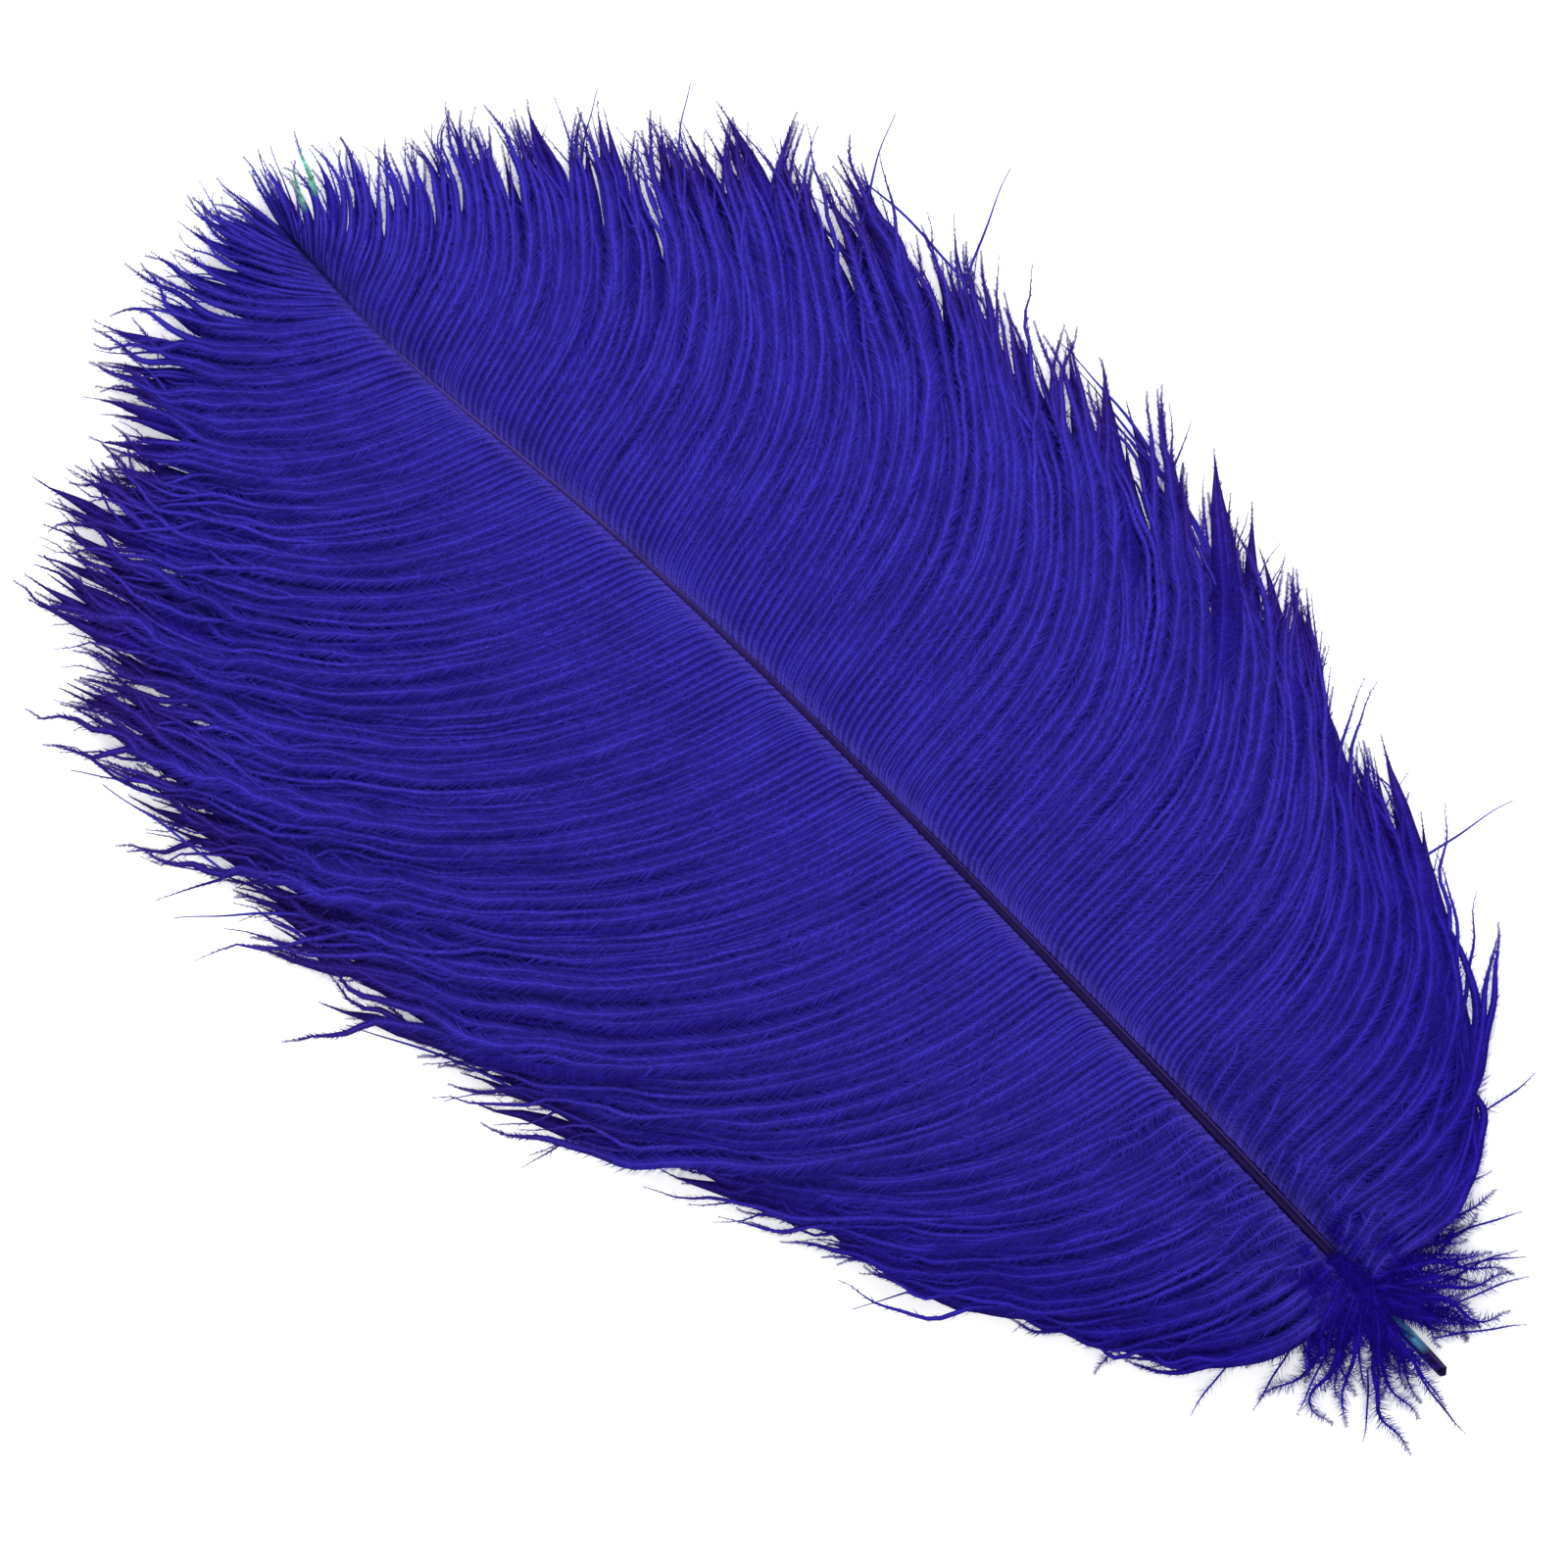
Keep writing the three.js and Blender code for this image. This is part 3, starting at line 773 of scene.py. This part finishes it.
def vane_profile(lines, lengths, settings, web=1, taper=1):
    """Half width and crest of the rib, and reach and drop of the webs, along each barb."""
    distance = shares(lines.shape[1] - 1) * lengths[:, None]
    end = lengths[:, None] - distance
    rib_width = 0.5 * settings.rib_width / MM
    rib = rib_width * (0.8 + 0.5 * smooth(4, 20, distance)) * (0.2 + 0.8 * smooth(0, 16, end))
    crest = 0.12 + 0.22 * smooth(0, 3, distance) * smooth(0, 14, end)
    widest = 0.5 * web * settings.web_width / MM
    leg = ROOT_WEB + (widest - ROOT_WEB) * smooth(0, 9, distance)
    narrow = 0.5 * smooth(1, 16 * taper, end) + 0.5 * smooth(8 * taper, 38 * taper, end)
    leg = np.maximum(leg * narrow, 1.1 * rib)
    drop = 0.4 * leg * smooth(0, 6, end)
    return rib, crest, leg, drop


def barbule_reach(longest, root_zone):
    """Function that gives the length of a barbule from its place on its barb."""
    def reach(distance, length):
        grow = 0.14 + 0.86 * smooth(0.12 * root_zone, root_zone, distance)
        fade = 0.1 + 0.3 * smooth(0, 10, length - distance) + 0.6 * smooth(8, 45, length - distance)
        return longest * grow * fade
    return reach


def free_lines(table, steps, height):
    """Lines and lengths of barbs that start anywhere: rows of x, y, heading, length and curl."""
    along = shares(steps)
    lengths = table[:, 3]
    wave = FREE_WAVE * sine(FREE_WAVE_TURNS * along + chance(lengths + table[:, 0])[:, None])
    turn = np.radians(table[:, 2:3] + table[:, 4:5] * along + wave * along)
    step = lengths[:, None] / steps
    lines = np.zeros((len(table), steps + 1, 3))
    lines[:, 1:, 0] = np.cumsum(np.cos(turn[:, 1:]) * step, axis=1)
    lines[:, 1:, 1] = np.cumsum(np.sin(turn[:, 1:]) * step, axis=1)
    lines[:, :, 0] += table[:, 0:1]
    lines[:, :, 1] += table[:, 1:2]
    start, arch, rise = height
    lines[:, :, 2] = start + arch * np.sin(np.pi * along) + rise * along
    return lines, lengths


def spike_parts(lines, lengths):
    """Spikes of down: a bare thin rib with barbules that stand apart, as on a twig."""
    rib = 0.17 * (0.3 + 0.7 * smooth(0, 8, to_end(lines, lengths)))
    profile = (rib, 0.15 + 0 * rib, 1.4 * rib, 0.2 * rib)

    def reach(distance, length):
        return 3.2 * (0.3 + 0.7 * smooth(0, 9, length - distance))

    return barb_parts(lines, lengths, profile, 61, 0.5, reach, 0.09, (36, 14), (0, 0.3))


COLOUR = {"subtype": "COLOR", "size": 4, "min": 0, "max": 1}


class VaneSettings(bpy.types.PropertyGroup):
    """Sizes and colours of the barbs."""
    barbs_a_side: IntProperty(
        name="Barbs a side", description="Number of barbs in each vane", default=180, min=60, max=190)
    under_barbs_a_side: IntProperty(
        name="Under barbs a side", description="Number of barbs in the layer below", default=130,
        min=2, max=190)
    fringe_barbs_a_side: IntProperty(
        name="Fringe barbs a side", description="Number of fine free barbs that fill the edge", default=190,
        min=2, max=190)
    rib_width: FloatProperty(
        name="Rib width", description="Width of a barb's own rib", default=0.46 * MM, unit="LENGTH")
    web_width: FloatProperty(
        name="Web width", description="Width that a barb and its webs cover", default=2.5 * MM, unit="LENGTH")
    barbule_length: FloatProperty(
        name="Barbule length", description="Longest barbules, at the middle of a barb", default=4.2 * MM,
        unit="LENGTH")
    barbule_gap: FloatProperty(
        name="Barbule gap", description="Distance between barbules on one side of a barb", default=0.23 * MM,
        unit="LENGTH")
    body_colour: FloatVectorProperty(
        name="Body colour", description="Dyed barbs over most of their length",
        default=(0.0285, 0.019, 0.305, 1), **COLOUR)
    # Painted shade: the lower layer's barbs are coloured darker than the body, as shade where they show in
    # the gaps
    under_shade_colour: FloatVectorProperty(
        name="Under colour", description="Barbs of the lower layer, which show in the gaps",
        default=(0.021, 0.011, 0.265, 1), **COLOUR)
    # Painted shade: the down is coloured darker and deeper blue than the vanes' body, as shade in the dense
    # foot
    down_shade_colour: FloatVectorProperty(
        name="Down colour", description="Loose down round the quill",
        default=(0.013, 0.004, 0.25, 1), **COLOUR)
    # Painted highlight on the crest of each barb's rib
    rib_highlight_colour: FloatVectorProperty(
        name="Rib colour", description="Paler crest of each barb",
        default=(0.055, 0.048, 0.32, 1), **COLOUR)
    root_colour: FloatVectorProperty(
        name="Root colour", description="Barbs where they leave the shaft",
        default=(0.045, 0.033, 0.33, 1), **COLOUR)
    tip_colour: FloatVectorProperty(
        name="Tip colour", description="Ends of the barbs",
        default=(0.028, 0.011, 0.17, 1), **COLOUR)
    patch_colour: FloatVectorProperty(
        name="Patch colour", description="Patch of teal dye near the feather's tip",
        default=(0.14, 0.42, 0.33, 1), **COLOUR)


class QuillSettings(bpy.types.PropertyGroup):
    """Colours of the quill and rachis."""
    colour: FloatVectorProperty(
        name="Colour", description="Dyed horn of the quill",
        default=(0.006, 0.002, 0.035, 1), **COLOUR)
    tip_colour: FloatVectorProperty(
        name="Tip colour", description="Fine end of the rachis",
        default=(0.05, 0.03, 0.2, 1), **COLOUR)
    # Painted highlight along the lit side of the quill and rachis
    highlight_stripe_colour: FloatVectorProperty(
        name="Stripe colour", description="Paler line along the side of the quill and rachis",
        default=(0.09, 0.055, 0.25, 1), **COLOUR)
    rim_colour: FloatVectorProperty(
        name="Rim colour", description="Cut edge of the horn",
        default=(0.22, 0.22, 0.42, 1), **COLOUR)
    # Teal patch beside the cut end, painted bright as a highlight on the quill's lit side
    teal_highlight_colour: FloatVectorProperty(
        name="Teal colour", description="Patch of teal dye beside the cut end",
        default=(0.11, 0.47, 0.70, 1), **COLOUR)


class DownSettings(bpy.types.PropertyGroup):
    """Sizes of the loose down."""
    barbs_a_side: IntProperty(
        name="Barbs a side", description="Number of down barbs on each side", default=96, min=12, max=99)
    curls_a_side: IntProperty(
        name="Curls a side", description="Number of curled barbs over the foot of each vane", default=64,
        min=0, max=99)
    barbule_length: FloatProperty(
        name="Barbule length", description="Longest barbules of the down", default=3.2 * MM, unit="LENGTH")


class StageSettings(bpy.types.PropertyGroup):
    """Floor and lights."""
    floor_colour: FloatVectorProperty(
        name="Floor colour", description="Plain pale floor",
        default=(0.9, 0.9, 0.9, 1), **COLOUR)
    floor_glow: FloatProperty(
        name="Floor glow", description="Light that comes through the floor, as on a light table", default=0.5,
        min=0)
    sky_strength: FloatProperty(
        name="Sky strength", description="Even light from all round", default=0.7, min=0)
    key_power: FloatProperty(
        name="Key light", description="Power of the large soft key light", default=17, min=0, unit="POWER")
    fill_power: FloatProperty(
        name="Fill light", description="Power of the soft fill light", default=5, min=0, unit="POWER")


class PLUME_OT_add_quill(bpy.types.Operator):
    """Quill and rachis in one tapered tube, with the hollow of its cut end"""
    bl_idname = "plume.add_quill"
    bl_label = "Add quill"

    def execute(self, context):
        settings = context.scene.plume_quill
        outer = np.linspace(0, 1, SHAFT_STEPS + 1)
        bore = np.linspace(BORE_DEPTH / SHAFT_LENGTH, 0, 5)
        place = np.concatenate([bore, outer])
        share = np.concatenate([np.full(len(bore), BORE_SHARE), np.ones(len(outer))])
        share[0] = 0.02
        share[-1] = 0.3
        x, y, z, heading = shaft_at(place)
        radius = through(SHAFT_RADIUS, place) * share
        turns = np.linspace(0, 2 * np.pi, SHAFT_SIDES + 1)
        aside = np.cos(turns)[None, :] * radius[:, None]
        rise = np.sin(turns)[None, :] * radius[:, None]
        ragged = CUT_RAGGED * (np.sin(2 * turns + 0.6) + 0.4 * np.sin(5 * turns))
        near_cut = np.exp(-place * SHAFT_LENGTH / 2.5)
        points = np.zeros((len(place), SHAFT_SIDES + 1, 3))
        slant = 0.5 * CUT_SLANT * (1 + np.sin(turns))
        points[:, :, 0] = x[:, None] - np.sin(heading)[:, None] * aside + near_cut[:, None] * (slant + ragged)
        points[:, :, 1] = y[:, None] + np.cos(heading)[:, None] * aside
        points[:, :, 2] = np.maximum(z[:, None] + rise, 0)
        places = np.zeros((len(place), SHAFT_SIDES + 1, 2))
        places[:, :, 0] = place[:, None]
        places[:, :, 1] = ROWS * (0.01 + 0.98 * turns[None, :] / (2 * np.pi))
        places[:len(bore), :, 1] = places[:len(bore), :, 1] * 0.3 + 0.7 * ROWS
        index = np.arange(len(place) * (SHAFT_SIDES + 1)).reshape(len(place), SHAFT_SIDES + 1)
        corners = (index[:-1, :-1], index[1:, :-1], index[1:, 1:], index[:-1, 1:])
        quads = np.stack(corners, axis=-1).reshape(-1, 4)
        parts = [(points.reshape(-1, 3), quads, places.reshape(-1, 2))]
        mesh_piece("quill", parts, quill_material(settings))
        return {"FINISHED"}


class PLUME_OT_add_vanes(bpy.types.Operator):
    """Barbs and barbules of both vanes, three layers in each, every layer in a lower and an upper half"""
    bl_idname = "plume.add_vanes"
    bl_label = "Add vanes"

    def execute(self, context):
        settings = context.scene.plume_vanes
        body = settings.body_colour
        plain = plume_material(BARB_MATERIAL, settings, body)
        foot = plume_material("dyed_barbs_foot_shaded", settings, body, foot_rows=FOOT_ROWS)
        tip = plume_material("dyed_barbs_teal", settings, body, TEAL_PATCH)
        # The lower layer's material is darker than the top's, as painted shade where its barbs show in the
        # gaps
        shaded = plume_material("under_barbs_painted_shade", settings, settings.under_shade_colour, None, (0.7, 1.1), 0.1)
        layers = (
            ("top", settings.barbs_a_side, plain),
            ("under", settings.under_barbs_a_side, shaded),
            ("fringe", settings.fringe_barbs_a_side, plain),
        )
        for name, vane in VANES.items():
            for layer, count, material in layers:
                upper = tip if (name, layer) == ("right", "top") else material
                lower = foot if material is plain else material
                half = count // 2
                self.add_layer(settings, f"{name}_{layer}_lower", vane, layer, count, 0, half, lower)
                self.add_layer(settings, f"{name}_{layer}_upper", vane, layer, count, half, count, upper)
        return {"FINISHED"}

    def add_layer(self, settings, name, vane, layer_name, count, first, last, material):
        """One piece: the barbs from first to last of one layer of a vane."""
        layer = LAYERS[layer_name]
        lines, lengths = vane_barbs(vane, layer, count)
        lines, lengths = lines[first:last], lengths[first:last]
        profile = vane_profile(lines, lengths, settings, layer["web"], layer["taper"])
        spacing = layer["gap"] * settings.barbule_gap / MM
        reach = barbule_reach(settings.barbule_length / MM, SHORT_BARBULES_END)
        parts = barb_parts(lines, lengths, profile, vane["seed"] + first, spacing, reach, *VANE_BARBULES)
        mesh_piece(name, parts, material)


class PLUME_OT_add_down(bpy.types.Operator):
    """Loose curled down round the foot of the vanes, some of it over the quill, and its longer spikes"""
    bl_idname = "plume.add_down"
    bl_label = "Add down"

    def execute(self, context):
        settings = context.scene.plume_down
        colours = context.scene.plume_vanes
        # The down's material is darker than the vanes', as painted shade in the dense foot
        material = plume_material("dyed_down_shaded", colours, colours.down_shade_colour, None, (0.5, 1.25), 0.08)
        plain = bpy.data.materials[BARB_MATERIAL]
        for name, side in (("left", 1), ("right", -1)):
            mesh_piece(f"{name}_down", self.fan(settings, side), material)
            mesh_piece(f"{name}_foot_curls", self.curls(settings, side), plain)
        spikes = np.array(DOWN_SPIKES, float)
        lines, lengths = free_lines(spikes, LOOSE_STEPS, (2.5, 1.5, 0.5))
        mesh_piece("down_spikes", spike_parts(lines, lengths), material)
        lines, lengths = free_lines(self.cover(), COVER_STEPS, (4.2, 2.5, -0.5))
        mesh_piece("down_cover", self.fluffy(lines, lengths, settings, 83), material)
        return {"FINISHED"}

    def fan(self, settings, side):
        """Barbs of down on one side, fanned from beside the quill to the foot of the vane, in loose locks."""
        count = settings.barbs_a_side
        barb = np.arange(count)
        lock = barb % DOWN_A_SIDE
        n = DOWN_SEED + side * 50 + lock * 7
        m = DOWN_SEED + side * 500 + barb * 13
        share = np.clip((lock + 0.9 * stray(m + 1)) / (DOWN_A_SIDE - 1), 0, 1)
        angle = DOWN_BACKWARD + (DOWN_FORWARD - DOWN_BACKWARD) * share + DOWN_TURN_SPREAD * stray(n)
        longest = DOWN_LENGTH * (1 + DOWN_LENGTH_SPREAD * stray(n + 1))
        lengths = longest * (0.3 + 0.65 * chance(m + 2) ** 1.5)
        kind = self.loose(m, lengths, side, 1)
        kind["place"] = DOWN_START + (DOWN_END - DOWN_START) * share + 0.012 * stray(m + 15)
        kind["root"] = angle - DOWN_CURL + 22 * stray(m + 3)
        kind["tip"] = angle + DOWN_CURL * stray(n + 2) + 30 * stray(m + 4)
        kind["tip_height"] = 0.4 + 5 * chance(m + 9)
        kind["hook"] = angle
        lines = barb_lines(kind, FAN_STEPS)
        return self.fluffy(lines, lengths, settings, DOWN_SEED + side)

    def curls(self, settings, side):
        """Curled barbs that lie over the foot of one vane and blur its lowest barbs."""
        count = settings.curls_a_side
        m = DOWN_SEED + side * 700 + np.arange(count) * 13
        place = CURLS_START + (CURLS_END - CURLS_START) * chance(m + 1) ** 1.4
        up_vane = (place - CURLS_START) / (CURLS_END - CURLS_START)
        lengths = (20 + 30 * chance(m + 2)) * (0.8 + 1.1 * up_vane)
        kind = self.loose(m, lengths, side, 0.95)
        kind["place"] = place
        kind["root"] = 90 + 14 * stray(m + 3)
        kind["tip"] = 44 + 32 * stray(m + 4)
        kind["tip_height"] = 1 + 4 * chance(m + 9)
        kind["hook"] = 40
        lines = barb_lines(kind, LOOSE_STEPS)
        lines[:, :, 2] += CURLS_LIFT * smooth(0, 0.2, shares(LOOSE_STEPS))
        return self.fluffy(lines, lengths, settings, DOWN_SEED + 40 + side)

    def loose(self, m, lengths, side, strength):
        """The columns that all loose barbs share: how they wave, ripple, swing and stand up."""
        return {
            "side": side,
            "late": 0,
            "curl": 0,
            "length": lengths,
            "wave": 24 * strength * chance(m + 5),
            "phase": chance(m + 6),
            "ripple": 22 * strength * chance(m + 7),
            "ripple_phase": chance(m + 8),
            "flutter": 34 * strength * chance(m + 11),
            "flutter_phase": chance(m + 12),
            "swing": 45 * strength * stray(m + 13),
            "flick": 40 * strength * stray(m + 14),
            "crown": DOWN_CROWN + 3 * chance(m + 10),
        }

    def cover(self):
        """Rows of x, y, heading, length and curl of the down barbs that lie across the rachis' foot."""
        m = DOWN_SEED + 900 + np.arange(COVER_BARBS) * 13
        side = np.where(chance(m) < 0.5, 1, -1)
        x = COVER_START + (COVER_END - COVER_START) * chance(m + 1)
        y = through(SHAFT_BOW, x / SHAFT_LENGTH) + side * (1 + 5 * chance(m + 2))
        heading = -side * (95 + 50 * stray(m + 3))
        return np.stack([x, y, heading, 7 + 11 * chance(m + 4), 70 * stray(m + 5)], axis=1)

    def fluffy(self, lines, lengths, settings, seed):
        """Ribbons and long barbules of loose down along the lines."""
        lines[:, :, 2] = np.maximum(lines[:, :, 2], TIP_HEIGHT)
        end = to_end(lines, lengths)
        rib = 0.2 * (0.3 + 0.7 * smooth(0, 10, end))
        leg = np.maximum(0.5 * smooth(2, 16, end), 1.2 * rib)
        profile = (rib, 0.2 + 0 * rib, leg, 0.4 * leg)
        longest = settings.barbule_length / MM

        def reach(distance, length):
            grow = 0.5 + 0.5 * smooth(0, 5, distance)
            return longest * grow * (0.25 + 0.75 * smooth(0, 9, length - distance))

        return barb_parts(lines, lengths, profile, seed, 0.19, reach, 0.1, (50, 30), (-0.1, 0.5))


class PLUME_OT_add_tip(bpy.types.Operator):
    """Last barbs of the feather, which close its tip round the end of the rachis"""
    bl_idname = "plume.add_tip"
    bl_label = "Add tip"

    def execute(self, context):
        settings = context.scene.plume_vanes
        barb = np.arange(TIP_BARBS)
        m = barb * 3 + TIP_SEED
        spread = 1 - barb / TIP_BARBS
        kind = {
            "side": np.where(barb % 2 == 0, 1, -1),
            "late": 0,
            "curl": 0,
            "place": TIP_START + TIP_SPAN * barb / TIP_BARBS,
            "length": 20 + 5 * stray(m),
            "root": 8 + 34 * spread,
            "tip": 4 + 22 * spread + 6 * stray(m + 1),
            "wave": 8 * chance(m + 2),
            "phase": chance(m + 3),
            "ripple": 2,
            "ripple_phase": chance(m + 4),
            "flutter": 6 * chance(m + 6),
            "flutter_phase": chance(m + 7),
            "tip_height": 1 + 2 * chance(m + 5),
            "crown": 1,
            "hook": 4 + 20 * spread,
            "swing": 14 * stray(m + 8),
            "flick": 20 * stray(m + 9),
        }
        lines = barb_lines(kind, LOOSE_STEPS)
        lengths = kind["length"]
        profile = vane_profile(lines, lengths, settings)
        spacing = settings.barbule_gap / MM
        reach = barbule_reach(3, 8)
        parts = barb_parts(lines, lengths, profile, 41, spacing, reach, 0.2, (26, 16), (0, 0.16))
        mesh_piece("tip_barbs", parts, bpy.data.materials[BARB_MATERIAL])
        return {"FINISHED"}


class PLUME_OT_add_stray_barbs(bpy.types.Operator):
    """Single barbs that curl away over and past the edges of the vanes"""
    bl_idname = "plume.add_stray_barbs"
    bl_label = "Add stray barbs"

    def execute(self, context):
        table = np.array(STRAY_BARBS, float)
        lines, lengths = free_lines(table, STRAY_STEPS, (3.5, 1.5, -2.5))
        rib = 0.24 * (0.3 + 0.7 * smooth(0, 22, to_end(lines, lengths)))
        profile = (rib, 0.2 + 0 * rib, 1.3 * rib, 0.2 * rib)

        def reach(distance, length):
            return 1.2 * (0.15 + 0.85 * smooth(6, 34, length - distance))

        parts = barb_parts(lines, lengths, profile, 77, 0.35, reach, 0.08, (26, 12), (0, 0.2))
        mesh_piece("stray_barbs", parts, bpy.data.materials[BARB_MATERIAL])
        return {"FINISHED"}


class PLUME_OT_add_stage(bpy.types.Operator):
    """Pale floor, soft light and the camera that looks straight down"""
    bl_idname = "plume.add_stage"
    bl_label = "Add stage"

    def execute(self, context):
        settings = context.scene.plume_stage
        mesh = bpy.data.meshes.new("floor")
        corners = [(FLOOR_HALF * x, FLOOR_HALF * y, 0) for x, y in ((-1, -1), (1, -1), (1, 1), (-1, 1))]
        mesh.from_pydata(corners, [], [(0, 1, 2, 3)])
        floor = bpy.data.objects.new("floor", mesh)
        context.scene.collection.objects.link(floor)
        nodes = Nodes("floor")
        nodes.set({
            "Base Color": settings.floor_colour,
            "Roughness": 0.9,
            "Specular IOR Level": 0,
            "Emission Color": settings.floor_colour,
            "Emission Strength": settings.floor_glow,
        })
        mesh.materials.append(nodes.material)

        world = bpy.data.worlds.new("studio")
        world.use_nodes = True
        background = world.node_tree.nodes["Background"]
        background.inputs["Color"].default_value = (1, 1, 1, 1)
        background.inputs["Strength"].default_value = settings.sky_strength
        context.scene.world = world

        target = QUILL_END + VIEW_CENTRE
        for (name, place, width), power in ((KEY_LAMP, settings.key_power), (FILL_LAMP, settings.fill_power)):
            light = bpy.data.lights.new(name, "AREA")
            light.size = width
            light.energy = power
            lamp = bpy.data.objects.new(name, light)
            lamp.location = place
            lamp.rotation_euler = (target - place).to_track_quat("-Z", "Y").to_euler()
            context.scene.collection.objects.link(lamp)

        camera = bpy.data.cameras.new("camera")
        camera.sensor_fit = "HORIZONTAL"
        camera.sensor_width = SENSOR
        camera.lens = SENSOR * VIEW_DISTANCE / (FRAME_PIXELS * PIXEL)
        eye = bpy.data.objects.new("camera", camera)
        up = VIEW_UP.normalized()
        back = Vector((0, 0, 1))
        rotation = Matrix((up.cross(back), up, back)).transposed()
        eye.matrix_world = Matrix.Translation(target + VIEW_DISTANCE * back) @ rotation.to_4x4()
        context.scene.collection.objects.link(eye)
        context.scene.camera = eye
        context.scene.view_settings.view_transform = "Standard"
        return {"FINISHED"}


STEPS = ("add_quill", "add_vanes", "add_down", "add_tip", "add_stray_barbs", "add_stage")


class PLUME_PT_panel(bpy.types.Panel):
    """Steps and settings of the plume"""
    bl_label = "Ostrich plume"
    bl_space_type = "VIEW_3D"
    bl_region_type = "UI"
    bl_category = "Plume"

    def draw(self, context):
        column = self.layout.column()
        for step in STEPS:
            column.operator(f"plume.{step}")
        for group in ("plume_quill", "plume_vanes", "plume_down", "plume_stage"):
            settings = getattr(context.scene, group)
            box = self.layout.box()
            for name in settings.bl_rna.properties.keys():
                if name not in ("rna_type", "name"):
                    box.prop(settings, name)


SETTINGS = {
    "plume_quill": QuillSettings,
    "plume_vanes": VaneSettings,
    "plume_down": DownSettings,
    "plume_stage": StageSettings,
}
CLASSES = (
    *SETTINGS.values(),
    PLUME_OT_add_quill,
    PLUME_OT_add_vanes,
    PLUME_OT_add_down,
    PLUME_OT_add_tip,
    PLUME_OT_add_stray_barbs,
    PLUME_OT_add_stage,
    PLUME_PT_panel,
)


def register():
    for cls in CLASSES:
        bpy.utils.register_class(cls)
    for name, group in SETTINGS.items():
        setattr(bpy.types.Scene, name, PointerProperty(type=group))


def unregister():
    for name in SETTINGS:
        delattr(bpy.types.Scene, name)
    for cls in reversed(CLASSES):
        bpy.utils.unregister_class(cls)


def main():
    register()
    for step in STEPS:
        if getattr(bpy.ops.plume, step)() != {"FINISHED"}:
            raise RuntimeError(f"{step} did not finish")


if __name__ == "__main__":
    main()
